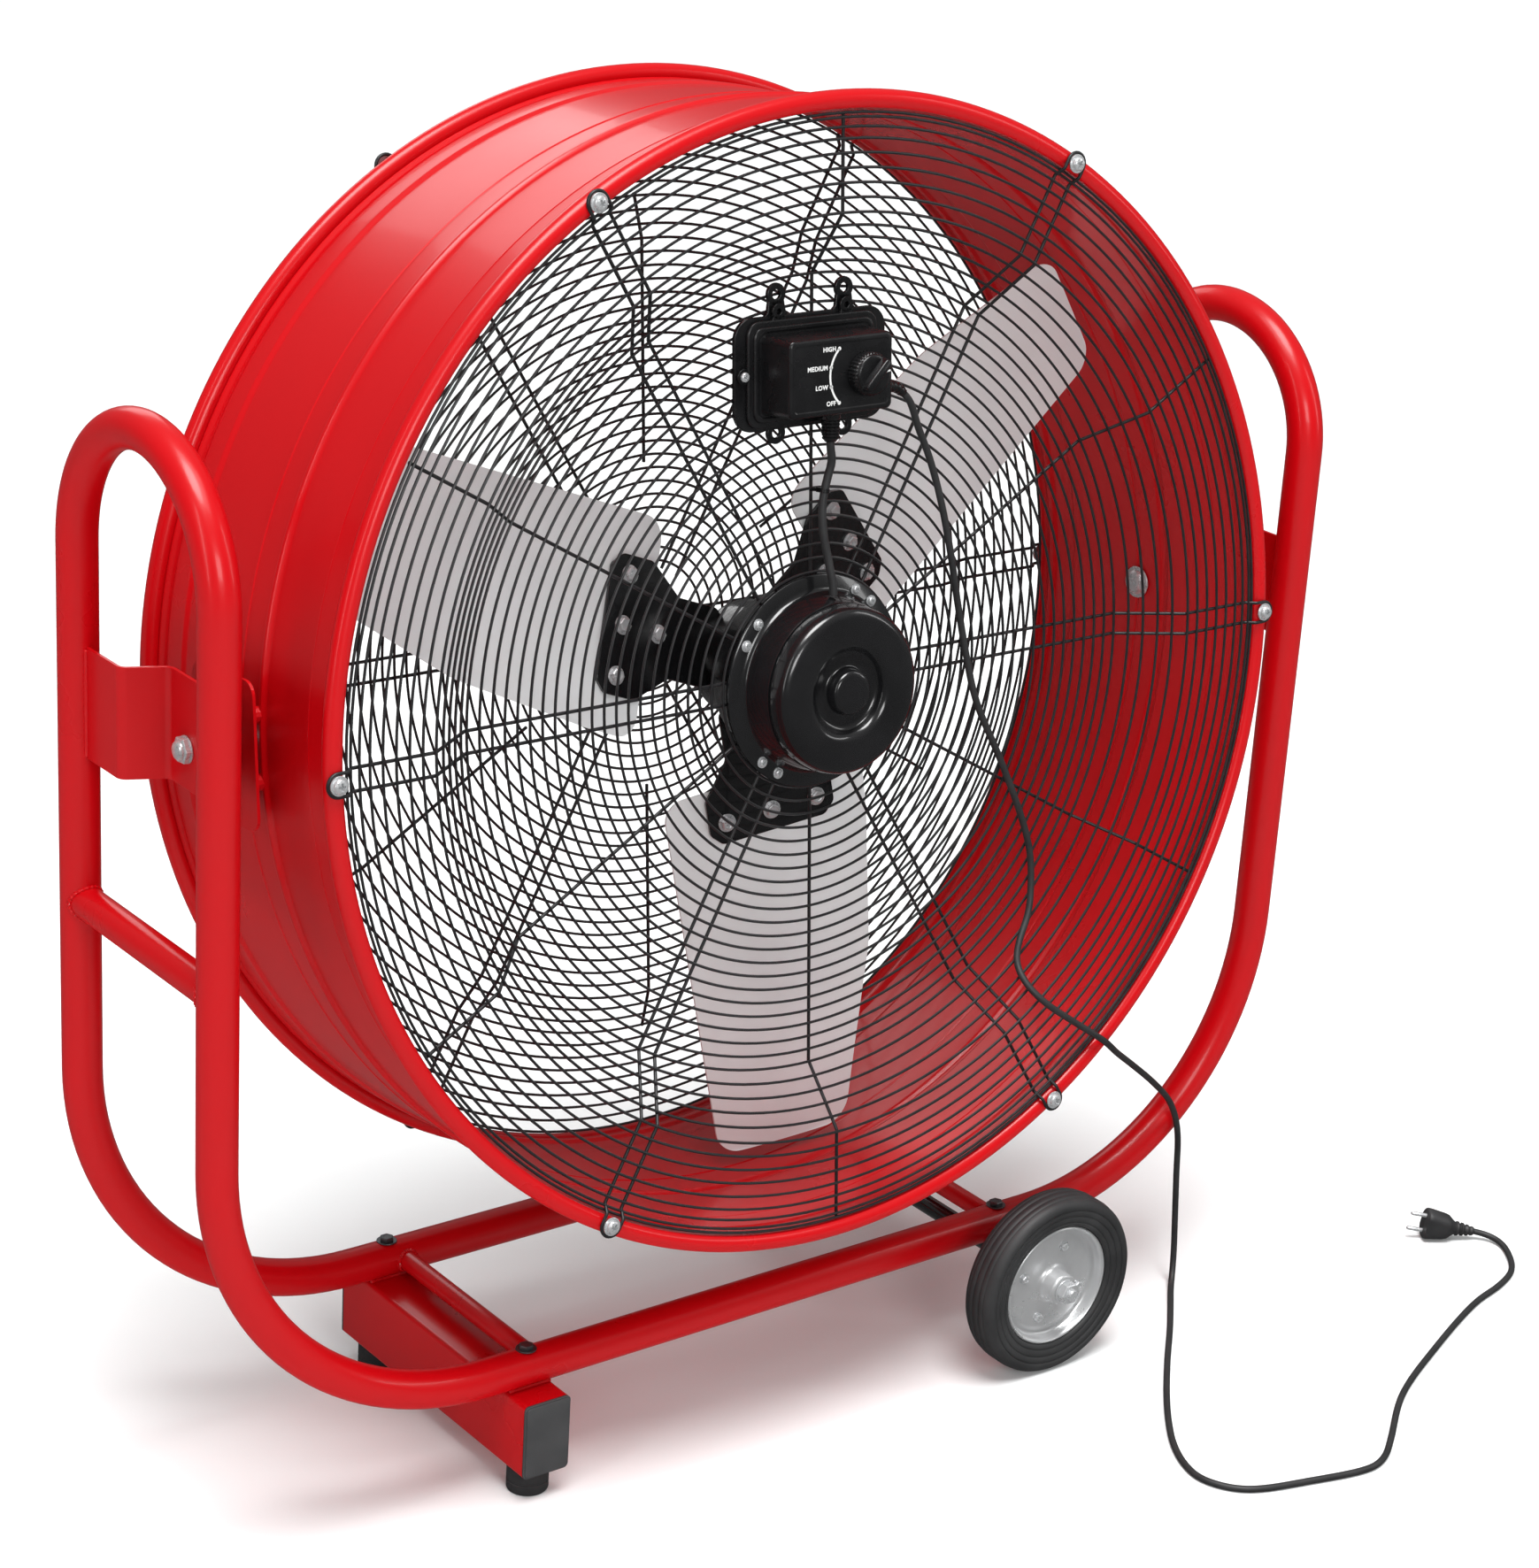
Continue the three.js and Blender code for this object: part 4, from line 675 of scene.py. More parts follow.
# ---------------------------------------------------------------- foot beam
# A length of 52 by 80 mm rectangular tube under both rails, painted red.
# A dark plastic cap is pressed into each end and a rubber foot is screwed on below.
BEAM_HALF_WIDTH, BEAM_HALF_HEIGHT = 26.0, 40.0
BEAM_HALF_LENGTH = 169.0
BEAM_CORNER = 5.0
BEAM_TOP = 110.0
CAP_THICKNESS = 4.0
CAP_GAP = 0.3
FOOT_HEIGHT = 29.7
FOOT_Y = 141.0


def rounded_rectangle(half_width, half_height, corner, steps=6):
    outline = []
    for x, z, start in ((1, 1, 0), (-1, 1, 90), (-1, -1, 180), (1, -1, 270)):
        centre = (x * (half_width - corner), z * (half_height - corner))
        outline += arc(centre, corner, start, start + 90, steps)
    return outline


# An outline in x and z made into a plate that reaches from one y to another.
def plate(outline, low, high):
    count = len(outline)
    points = [Vector((x, y, z)) for y in (low, high) for x, z in outline]
    faces = [tuple(range(count)), tuple(range(count, 2 * count))]
    faces += [(i, (i + 1) % count, count + (i + 1) % count, count + i) for i in range(count)]
    return points, faces


cap_plastic = finish_of(
    "cap_plastic",
    (0.045, 0.046, 0.048),
    (0.075, 0.076, 0.078),
    patch=(25.0, 0.6),
    gloss=(0.5, 0.62),
    grain=(1100.0, 0.12, 0.5),
)
rubber = finish_of(
    "rubber",
    (0.02, 0.02, 0.021),
    (0.045, 0.045, 0.046),
    patch=(18.0, 0.6),
    gloss=(0.5, 0.66),
    grain=(900.0, 0.12, 0.4),
)
beam_middle = BEAM_TOP - BEAM_HALF_HEIGHT
beam = plate(
    rounded_rectangle(BEAM_HALF_WIDTH, BEAM_HALF_HEIGHT, BEAM_CORNER), -BEAM_HALF_LENGTH, BEAM_HALF_LENGTH
)
saddle_welds = []
for y in (-LOOP_Y, LOOP_Y):
    for side in (-1, 1):
        run = [(FOOT_X + x, y + side * 9.0, BEAM_TOP + 1.6) for x in range(-23, 24, 2)]
        saddle_welds.append(drawn(run, [2.0 + 0.5 * (i % 2) for i in range(len(run))], 8))
add_piece(
    "foot_beam_tube",
    together(moved(beam, x=FOOT_X, z=beam_middle), *saddle_welds),
    red_paint,
    "frame",
    ["foot_beam"],
)
for end, side in (("front", -1), ("rear", 1)):
    inner = side * (BEAM_HALF_LENGTH + CAP_GAP)
    outer = inner + side * CAP_THICKNESS
    lip_outline = rounded_rectangle(BEAM_HALF_WIDTH, BEAM_HALF_HEIGHT, BEAM_CORNER)
    lip = plate(lip_outline, inner, outer - side * 1.2)
    face = plate(rounded_rectangle(BEAM_HALF_WIDTH - 1.6, BEAM_HALF_HEIGHT - 1.6, 4.0), inner, outer)
    add_piece(
        f"{end}_beam_cap",
        moved(together(lip, face), x=FOOT_X, z=beam_middle),
        cap_plastic,
        "frame",
        [f"beam_cap_{end}"],
        soft=0.5,
    )
    foot = [(0, 0), (18.6, 0), (20.2, -0.8), (21, -2.4), (21, -10), (20.2, -10.8), (20.2, -12.4)]
    foot += [(21, -13.2), (21, -27), (20, -FOOT_HEIGHT), (0, -FOOT_HEIGHT)]
    add_piece(
        f"{end}_rubber_foot",
        moved(placed(lathe(foot, 48), FACING_UP), FOOT_X, side * FOOT_Y, 0),
        rubber,
        "frame",
        [f"rubber_foot_{end}"],
    )

# ---------------------------------------------------------------- axle
# A black painted steel bar across the frame under the rails, turned down at its ends.
# A hex nut and washer on each end keep the wheel on.
WHEEL_Y, WHEEL_Z = 221.0, 100.0
AXLE_RADIUS, JOURNAL_RADIUS = 10.0, 8.0
AXLE_SHOULDER_Y, AXLE_END_Y = 192.7, 246.0
NUT_SEAT_Y = 249.3

black_paint = finish_of(
    "black_paint",
    (0.005, 0.005, 0.0055),
    (0.011, 0.011, 0.012),
    patch=(14.0, 0.6),
    gloss=(0.16, 0.24),
    grain=(700.0, 0.1, 0.1),
    coat=(0.5, 0.06),
)
half_axle = [(AXLE_RADIUS, AXLE_SHOULDER_Y - 0.8), (AXLE_RADIUS - 0.8, AXLE_SHOULDER_Y)]
half_axle += [(JOURNAL_RADIUS, AXLE_SHOULDER_Y), (JOURNAL_RADIUS, AXLE_END_Y), (0, AXLE_END_Y)]
axle_outline = half_axle + [(radius, -along) for radius, along in reversed(half_axle)]
add_piece(
    "axle_bar",
    moved(lathe(axle_outline, 40), WHEEL_X, 0, WHEEL_Z),
    black_paint,
    "frame",
    ["axle"],
)
bolt_end = [(0, -1), (6.6, -1), (6.6, -13.4), (5.6, -14.8), (0, -14.8)]
for end, side in (("front", -1), ("rear", 1)):
    nut = together(hex_head(12.4, 10.4, 13.4, 1.8), lathe(bolt_end, 24))
    facing = turned_by(0 if side < 0 else 180, "Z")
    add_piece(
        f"{end}_wheel_nut",
        moved(placed(nut, facing), WHEEL_X, side * NUT_SEAT_Y, WHEEL_Z),
        plated_steel,
        "frame",
        [f"{end}_axle_nut"],
        soft=0.3,
    )

# ---------------------------------------------------------------- wheels
# A solid black rubber tyre with moulded rings, 200 mm across, on a pressed zinc-plated rim.
# The rim's two dished halves are bolted together round the hub.
TYRE_SIDE = [(67.3, 13.5), (68.2, 16.4), (70.2, 18.0), (72.4, 18.2), (73.2, 17.4), (74.2, 18.4)]
TYRE_SIDE += [(79.6, 19.6), (80.6, 18.8), (81.6, 19.9), (86.6, 20.9), (87.6, 20.0), (88.6, 21.2)]
TYRE_SIDE += [(91.6, 21.4), (94.6, 20.4), (97.0, 18.2), (98.8, 15.0), (99.2, 12.4), (98.4, 11.7)]
TYRE_SIDE += [(99.5, 11.0), (100, 8.6), (100, 5.4), (99.2, 4.7), (99.2, 4.1), (100, 3.4)]
RIM_SIDE = [(8.3, 27.6), (14.6, 27.6), (16.8, 26.0), (17, 24), (17.2, 12), (19, 8.4), (23, 6.4)]
RIM_SIDE += [(30, 5.4), (50, 5.0), (54, 4.2), (57, 2.6), (60, 3.2), (62, 6.0), (62.6, 10.5)]
RIM_SIDE += [(63.4, 14.4), (65, 15.8), (66.6, 15.2), (67, 13)]
RIM_BOLT_CIRCLE = 41.0
RIM_BOLTS = 4

pressed_zinc = finish_of(
    "pressed_zinc",
    (0.66, 0.665, 0.67),
    (0.52, 0.525, 0.535),
    patch=(32.0, 0.6),
    gloss=(0.22, 0.42),
    grain=(800.0, 0.08, 0.2),
    metallic=0.6,
)


def both_sides(side):
    return side + [(radius, -along) for radius, along in reversed(side)]


for end, side in (("front", -1), ("rear", 1)):
    hub_place = Matrix.Translation((WHEEL_X, side * WHEEL_Y, WHEEL_Z))
    add_piece(
        f"{end}_solid_tyre",
        lathe(both_sides(TYRE_SIDE), 120),
        rubber,
        f"wheel_{end}",
        [f"{end}_tyre"],
        place=hub_place,
        crease=55,
    )
    add_piece(
        f"{end}_pressed_rim",
        lathe(both_sides(RIM_SIDE), 96),
        pressed_zinc,
        f"wheel_{end}",
        [f"{end}_rim"],
        place=hub_place,
        crease=60,
    )
    studs = []
    for facing in (0, 180):
        stud = placed(hex_head(5.0, 4.6, 6.2, 0.8), turned_by(facing, "Z"))
        stud = moved(stud, y=-4.9 if facing == 0 else 4.9)
        for i in range(RIM_BOLTS):
            studs.append(
                placed(
                    moved(stud, x=RIM_BOLT_CIRCLE),
                    turned_by(20 + i * 360 / RIM_BOLTS, "Y"),
                )
            )
    add_piece(
        f"{end}_rim_bolts",
        together(*studs),
        plated_steel,
        f"wheel_{end}",
        place=hub_place,
        soft=0.3,
    )

# ---------------------------------------------------------------- pivot brackets
# A bracket of 3.5 mm sheet bent in towards the drum between the two uprights of each side,
# welded to both and painted red. It carries the drum's pivot.
BRACKET_LINE = [(638, -111.5), (638, -49), (597, -32), (597, 85), (625.5, 116.3)]
BRACKET_SHEET = 3.5
BRACKET_BEND = 9.0
BRACKET_LOW, BRACKET_HIGH = -38.0, 68.0


# Rounds the corners of a line or a closed outline.
def filleted(line, radius, steps=6, closed=False):
    corners = [Vector(p) for p in line]
    count = len(corners)
    rounded = []
    for i, corner in enumerate(corners):
        if not closed and i in (0, count - 1):
            rounded.append(tuple(corner))
            continue
        back = (corners[i - 1] - corner).normalized()
        ahead = (corners[(i + 1) % count] - corner).normalized()
        half = math.acos(max(-1, min(1, back.dot(ahead)))) / 2
        if half > math.pi / 2 - 0.01:
            rounded.append(tuple(corner))
            continue
        reach = radius / math.tan(half)
        centre = corner + (back + ahead).normalized() * (radius / math.sin(half))
        start, end = corner + back * reach - centre, corner + ahead * reach - centre
        for k in range(steps + 1):
            spoke = start.lerp(end, k / steps).normalized() * radius
            rounded.append(tuple(centre + spoke))
    return rounded


# A bent strip of sheet: a line in x and y, thickened and raised from one z to another.
def bent_strip(line, sheet, low, high):
    line = [Vector(p) for p in line]
    left, right = [], []
    for i, point in enumerate(line):
        before = (point - line[max(i - 1, 0)]).normalized()
        after = (line[min(i + 1, len(line) - 1)] - point).normalized()
        along = (before + after).normalized()
        lean = along.dot(after if i == 0 else before)
        across = Vector((-along.y, along.x)) * (sheet / 2 / max(0.5, lean))
        left.append(point + across)
        right.append(point - across)
    outline = left + right[::-1]
    count = len(outline)
    points = [Vector((p.x, p.y, z)) for z in (low, high) for p in outline]
    half = len(left)
    faces = [(i, (i + 1) % count, count + (i + 1) % count, count + i) for i in range(count)]
    for base in (0, count):
        faces += [
            (base + i, base + i + 1, base + count - 2 - i, base + count - 1 - i) for i in range(half - 1)
        ]
    return points, faces


bracket = bent_strip(filleted(BRACKET_LINE, BRACKET_BEND), BRACKET_SHEET, BRACKET_LOW, BRACKET_HIGH)
wing_welds = []
for x, y in ((636.0, -110.6), (640.0, -110.6), (624.2, 118.0), (627.7, 114.8)):
    run = [(x, y, z) for z in range(-36, 67, 3)]
    wing_welds.append(drawn(run, [2.3 + 0.4 * (i % 2) for i in range(len(run))], 8))
for name, turn in (("left", 180), ("right", 0)):
    add_piece(
        f"{name}_hat_bracket",
        together(bracket, *wing_welds),
        red_paint,
        "frame",
        [f"{name}_pivot_bracket"],
        place=Matrix.Translation((0, 0, PIVOT_Z)) @ turned_by(turn, "Z"),
        soft=0.5,
        crease=30,
    )

# ---------------------------------------------------------------- pivots
# A black nylon spacer between bracket and drum, and a plated bolt with a domed head inside
# the drum and a closed nut outside the bracket. The drum tilts on the two bolts.
PIVOT_SEAT_X, PIVOT_NUT_X = 540.5, 599.1
ALONG_X = turned_by(-90, "Z")

spacer_outline = [(0, 566.8), (19, 566.8), (20, 567.8), (20, 578.5), (18.6, 579.6), (18.6, 582.1)]
spacer_outline += [(20, 583.2), (20, 593.9), (19, 594.9), (0, 594.9)]
dome = [(17, 0), (17, -1.2), (16.4, -1.9), (13.6, -2.0), (13.2, -3.2), (11.2, -5.4), (8.0, -7.0)]
dome += [(4.2, -7.7), (0, -7.9)]
head_outline = [(radius, PIVOT_SEAT_X + along) for radius, along in dome]
bolt_outline = head_outline + [(0, PIVOT_NUT_X + 2), (8, PIVOT_NUT_X + 2), (8, PIVOT_SEAT_X)]
nut_outline = [(r, PIVOT_NUT_X + x) for r, x in ((0, 1), (13, 1), (13, 6.2), (11.4, 7.2), (0, 7.2))]
nut_crown = [(9.4, 7.2), (9.2, 8.8), (7.6, 10.6), (4, 11.6), (0, 11.9), (0, 6)]
nut_crown = [(r, PIVOT_NUT_X + x) for r, x in nut_crown]
washer_outline = [(r, PIVOT_NUT_X + x) for r, x in ((0, 0), (13, 0), (13, 1.4), (0, 1.4))]
for name, turn in (("left", 180), ("right", 0)):
    beside = turned_by(turn, "Z") @ ALONG_X
    add_piece(
        f"{name}_nylon_spacer",
        lathe(spacer_outline, 48),
        black_plastic,
        "frame",
        [f"{name}_pivot_spacer"],
        place=Matrix.Translation((0, 0, PIVOT_Z)) @ beside,
        crease=50,
    )
    add_piece(
        f"{name}_domed_bolt",
        lathe(bolt_outline, 48),
        plated_steel,
        "drum",
        [f"{name}_pivot_bolt"],
        place=IN_DRUM @ beside,
        crease=50,
    )
    closed_nut = together(
        lathe(nut_outline, 6), lathe(nut_crown, 32), lathe(washer_outline, 32)
    )
    add_piece(
        f"{name}_closed_nut",
        closed_nut,
        plated_steel,
        "drum",
        [f"{name}_pivot_nut"],
        place=IN_DRUM @ beside,
        soft=0.25,
        crease=35,
    )

# ---------------------------------------------------------------- drum plates
# A steel plate stands off each side of the drum on four welded studs and spreads the
# pivot's load. The solid from the model has the real shape; only its edges are eased.
for name in ("left_drum_plate", "right_drum_plate"):
    stiffener = frame["nodes"][name]
    stiffener.data.materials.clear()
    stiffener.data.materials.append(red_paint)
    round_off(stiffener, 0.6)

# ---------------------------------------------------------------- drum
# A wide band of 2 mm steel sheet, rolled round and painted red, with a rolled bead at each
# edge and pressed ribs and steps that stiffen it.
DRUM_SIDES = 240
BEAD_RING, BEAD_RADIUS = 551.0, 9.0
FRONT_BEAD_Y, REAR_BEAD_Y = -172.0, 160.0
WALL_INNER, WALL_SHEET = 542.0, 2.0
# how far the wall stands out of its plain round, at places from front to back
WALL_RIBS = [(-161, 0), (-157.5, 0), (-156, 1.6), (-150.5, 1.6), (-149, 0), (-121, 0)]
WALL_RIBS += [(-119.5, 0.7), (-118, 0)]
WALL_RIBS += [(-48, 0), (-45, 1.2), (-42.5, 3.4), (-40, 3.9), (-37.5, 3.4), (-35, 1.2), (-32, 0)]
WALL_RIBS += [(-2.5, 0), (-1, 0.9), (1, 0.9), (2.5, 0), (101, 0), (103.5, 0.5), (106.5, 2.5), (109, 3)]
WALL_RIBS += [(133, 3), (135, 2.6), (138, 0.6), (140, 0.2), (144, 0.2), (146, 0.8), (149, 2.8), (151, 3)]

front_bead = [
    (BEAD_RING + BEAD_RADIUS * math.cos(a), FRONT_BEAD_Y - BEAD_RADIUS * math.sin(a))
    for a in (math.radians(degrees) for degrees in range(180, -121, -15))
]
rear_bead = [(radius, REAR_BEAD_Y + FRONT_BEAD_Y - along) for radius, along in reversed(front_bead)]
outer_wall = [(WALL_INNER + WALL_SHEET + out, y) for y, out in WALL_RIBS]
inner_wall = [(WALL_INNER + out, y) for y, out in reversed(WALL_RIBS)]
add_piece(
    "drum_band",
    lathe(front_bead + outer_wall + rear_bead + inner_wall, DRUM_SIDES),
    red_paint,
    "drum",
    ["drum_shell"],
    place=IN_DRUM,
    crease=28,
    flats=True,
)

# ---------------------------------------------------------------- guard screws
# Plated screws with a cross recess and a washer, six round each bead.
# They hold down the loops of the guards' double wires.
SCREWS = 6
SCREW_SEAT_Y = -183.4
REAR_SCREW_SEAT_Y = -171.8
SCREW_HEAD_RADIUS, SCREW_HEAD_HEIGHT = 7.0, 4.4


def spoke_end(radius, degrees, y):
    angle = math.radians(degrees)
    return Vector((radius * math.cos(angle), y, radius * math.sin(angle)))


# A round head with a cross recess, from its seat at 0 out along -Y.
def cross_head(radius, height, reach=0.52, half_width=0.16):
    lean = math.degrees(math.atan2(half_width, reach))
    turns = [quarter + step for quarter in (0, 90, 180, 270) for step in (0, lean, 45, 90 - lean)]
    recess = []
    for turn in turns:
        step = turn % 90
        step = min(step, 90 - step)
        cosine, sine = math.cos(math.radians(step)), math.sin(math.radians(step))
        recess.append(reach / cosine if step <= lean else half_width / sine)
    rings = [(radius, 0), (radius, -0.35 * height)]
    rings += [(radius * 0.93, -0.66 * height), (radius * 0.78, -0.9 * height)]
    points = [spoke_end(r, turn, y) for r, y in rings for turn in turns]
    for scale, y in ((1.0, -height), (0.75, -0.45 * height)):
        points += [spoke_end(radius * scale * r, turn, y) for r, turn in zip(recess, turns)]
    count = len(turns)
    faces = []
    for ring in range(5):
        for i in range(count):
            a, b = ring * count + i, ring * count + (i + 1) % count
            faces.append((a, b, b + count, a + count))
    faces += [tuple(range(count)), tuple(range(5 * count, 6 * count))]
    return points, faces


def on_circle(shape, radius, degrees, y=0.0):
    return placed(moved(shape, x=radius, y=y), turned_by(-degrees, "Y"))


spring_washer = lathe([(3, 0), (9, 0), (9, -1.1), (8.6, -1.4), (3, -1.4)], 36)
guard_screw = together(spring_washer, moved(cross_head(SCREW_HEAD_RADIUS, SCREW_HEAD_HEIGHT), y=-1.4))
shank = lathe([(0, 9.5), (2.4, 9.5), (2.4, -1.5), (0, -1.5)], 16)
for i in range(SCREWS):
    add_piece(
        f"front_guard_screw_{i + 1}",
        on_circle(together(guard_screw, shank), BEAD_RING, i * 360 / SCREWS, SCREW_SEAT_Y),
        plated_steel,
        "drum",
        [f"guard_screw_{i + 1}"],
        place=IN_DRUM,
        crease=35,
    )
rear_screws = []
for i in range(SCREWS):
    seated = on_circle(guard_screw, BEAD_RING, 180 - i * 360 / SCREWS, REAR_SCREW_SEAT_Y)
    rear_screws.append(placed(seated, turned_by(180, "Z")))
add_piece(
    "rear_guard_screws",
    together(*rear_screws),
    plated_steel,
    "drum",
    place=IN_DRUM,
    crease=35,
)

# ---------------------------------------------------------------- front guard
# Rings of 2.8 mm steel wire, dished inwards, spot-welded on radial wires and coated black.
# Six of the radials are hairpins looped round the guard screws; six more are single.
RING_WIRE, RADIAL_WIRE = 1.4, 1.7
RING_SIDES = 168
RING_PITCH = 13.5
GUARD_FRONT_Y, GUARD_DISC_Y = -176.0, -130.0
DISH_OUTER, DISH_INNER = 448.0, 389.0
HAIRPIN_HALF = 10.5
HAIRPIN_SEAT_Y = -182.2
WIRE_BEND = 2.5

wire_coat = finish_of(
    "wire_coat",
    (0.012, 0.012, 0.013),
    (0.022, 0.022, 0.023),
    patch=(60.0, 0.6),
    gloss=(0.3, 0.42),
    grain=(1500.0, 0.04, 0.2),
    specular=0.4,
)


def wire_ring(radius, y):
    turns = [2 * math.pi * i / RING_SIDES for i in range(RING_SIDES)]
    path = [(radius * math.cos(turn), y, radius * math.sin(turn)) for turn in turns]
    return drawn(path, RING_WIRE, 8, closed=True)


def dished(radius, front, disc, outer, inner):
    share = max(0.0, min(1.0, (radius - inner) / (outer - inner)))
    return disc + (front - disc) * share


def front_y(radius):
    return dished(radius, GUARD_FRONT_Y, GUARD_DISC_Y, DISH_OUTER, DISH_INNER)


# A radial wire through [radius, y] points, moved aside by the given offset.
def radial(line, offset):
    return [Vector((radius, y, offset)) for radius, y in line]


# A double wire: out along one side, round the screw and back along the other.
def hairpin(line, half, turn_y):
    out = radial(line, -half)
    turn = arc((BEAD_RING, 0), half, -90, 90, 12)
    loop = [Vector((x, turn_y, z)) for x, z in turn]
    return drawn(out + loop + [Vector((p.x, p.y, half)) for p in reversed(out)], RADIAL_WIRE, 10)


front_rings = [539.4, 535.2, 526.5, 516.0]
front_rings += [503.0 - RING_PITCH * i for i in range(5)]
front_rings += [DISH_OUTER - 11.8 * i for i in range(1, 6)]
front_rings += [DISH_INNER - RING_PITCH * i for i in range(1, 22)]
behind = 2 * RING_WIRE + 0.2
front_line = [(99, GUARD_DISC_Y + behind), (DISH_INNER, GUARD_DISC_Y + behind)]
front_line += [(DISH_OUTER, GUARD_FRONT_Y + behind), (533, GUARD_FRONT_Y + behind)]
double_line = filleted(
    front_line + [(541, HAIRPIN_SEAT_Y), (BEAD_RING, HAIRPIN_SEAT_Y)], WIRE_BEND, 3
)
front_shapes = [wire_ring(radius, front_y(radius)) for radius in front_rings]
for i in range(SCREWS):
    pin = hairpin(double_line, HAIRPIN_HALF, HAIRPIN_SEAT_Y)
    front_shapes.append(placed(pin, turned_by(-i * 60, "Y")))
    single = radial(filleted(front_line + [(539, GUARD_FRONT_Y + behind)], WIRE_BEND, 3), 0)
    front_shapes.append(placed(drawn(single, RADIAL_WIRE, 10), turned_by(-30 - i * 60, "Y")))
add_piece(
    "front_wire_guard",
    together(*front_shapes),
    wire_coat,
    "drum",
    ["front_guard"],
    place=IN_DRUM,
)

# ---------------------------------------------------------------- rear guard
# The same wires on the far side, dished only a little, with the radials outside the rings.
# Its middle is open to a 60 mm ring.
REAR_RIM_Y, REAR_DISC_Y = 158.0, 145.0
REAR_DISH_OUTER, REAR_DISH_INNER = 435.0, 391.0
REAR_SEAT_Y = 170.8


def rear_y(radius):
    return dished(radius, REAR_RIM_Y, REAR_DISC_Y, REAR_DISH_OUTER, REAR_DISH_INNER)


rear_rings = [539.4] + [527.0 - RING_PITCH * i for i in range(35)]
rear_line = [(59, REAR_DISC_Y + behind), (REAR_DISH_INNER, REAR_DISC_Y + behind)]
rear_line += [(REAR_DISH_OUTER, REAR_RIM_Y + behind), (532, REAR_RIM_Y + behind)]
rear_double = filleted(rear_line + [(541, REAR_SEAT_Y), (BEAD_RING, REAR_SEAT_Y)], WIRE_BEND, 3)
rear_single = [(168, REAR_DISC_Y + behind), (REAR_DISH_INNER, REAR_DISC_Y + behind)]
rear_single += [(REAR_DISH_OUTER, REAR_RIM_Y + behind)]
rear_shapes = [wire_ring(radius, rear_y(radius)) for radius in rear_rings]
for i in range(SCREWS):
    pin = hairpin(rear_double, HAIRPIN_HALF, REAR_SEAT_Y)
    rear_shapes.append(placed(pin, turned_by(-i * 60, "Y")))
    single = drawn(radial(filleted(rear_single, WIRE_BEND, 3), 0), RADIAL_WIRE, 10)
    rear_shapes.append(placed(single, turned_by(-30 - i * 60, "Y")))
add_piece(
    "rear_wire_guard",
    together(*rear_shapes),
    wire_coat,
    "drum",
    ["rear_guard"],
    place=IN_DRUM,
)

# ---------------------------------------------------------------- motor
# A pressed steel motor body, painted black, bolted by its flange to the guard's middle.
# Its end cap is dished round a centre button.
MOTOR_SIDES = 120
FLANGE_BACK_Y, FLANGE_FRONT_Y = -131.55, -137.55
FLANGE_SCREW_CIRCLE = 95.5

body_outline = [(0, -169), (76, -169), (81.4, -168.4), (82.6, -166), (86.4, -143), (88.6, -139.4)]
body_outline += [(92, FLANGE_FRONT_Y), (102.6, FLANGE_FRONT_Y), (104, FLANGE_FRONT_Y + 1.2)]
body_outline += [(104, FLANGE_BACK_Y - 1), (103, FLANGE_BACK_Y), (90, FLANGE_BACK_Y)]
body_outline += [(87.5, FLANGE_BACK_Y + 2), (80.4, -82), (79.6, -79), (76, -75), (0, -75)]
add_piece(
    "motor_body",
    lathe(body_outline, MOTOR_SIDES),
    black_paint,
    "drum",
    ["motor_housing"],
    place=IN_DRUM,
    crease=45,
)
cap_outline = [(0, -170.3), (79, -170.3), (81.6, -171.2), (82, -173), (81.4, -181), (80.2, -187)]
cap_outline += [(77.4, -190.4), (73, -191.8), (68, -192), (50, -192), (46.5, -191.4), (43.5, -189.8)]
cap_outline += [(41, -187), (39.6, -183.6), (37.5, -181.4), (34, -180.6), (24.5, -180.6)]
cap_outline += [(22.6, -181.4), (22, -183), (21.6, -191.6), (20.6, -193.8), (18.4, -194.9)]
cap_outline += [(14, -195.3), (0, -195.4)]
add_piece(
    "motor_cap",
    lathe(cap_outline, MOTOR_SIDES),
    black_paint,
    "drum",
    ["motor_end_cap"],
    place=IN_DRUM,
    crease=50,
)
small_washer = lathe([(0, 0), (5.6, 0), (5.6, -0.8), (0, -0.8)], 24)
small_screw = together(small_washer, moved(cross_head(4.3, 2.8), y=-0.8))
flange_screws = [
    on_circle(small_screw, FLANGE_SCREW_CIRCLE, middle + side * 7, FLANGE_FRONT_Y)
    for middle in (54, 144, 234, 324)
    for side in (-1, 1)
]
add_piece(
    "motor_flange_screws",
    together(*flange_screws),
    plated_steel,
    "drum",
    place=IN_DRUM,
    crease=35,
)

# ---------------------------------------------------------------- rotor hub and shaft
# A cast hub, painted black, keyed to the motor's shaft behind the motor and held by a
# washer and a hex bolt in the shaft's end.
HUB_FRONT_Y, HUB_BACK_Y = -73.0, -10.0

hub_outline = [(0, HUB_FRONT_Y), (48, HUB_FRONT_Y), (52, -72.4), (55.6, -70), (57.6, -66.4)]
hub_outline += [(58, -63), (58, -18), (57.2, -15), (54, -11.4), (50, HUB_BACK_Y), (30, HUB_BACK_Y)]
hub_outline += [(27, -11.5), (26, -14), (19, -14), (18, -13), (17, HUB_BACK_Y), (0, HUB_BACK_Y)]
add_piece(
    "cast_hub",
    lathe(hub_outline, 96),
    black_paint,
    "rotor",
    ["rotor_hub"],
    place=IN_DRUM,
    crease=50,
)
shaft_outline = [(0, -129.7), (7.4, -129.7), (8, -129), (8, -3), (7.2, -2.2), (0, -2.2)]
shaft_washer = lathe([(8.1, -10), (15, -10), (15, -8.2), (14.6, -7.8), (8.1, -7.8)], 40)
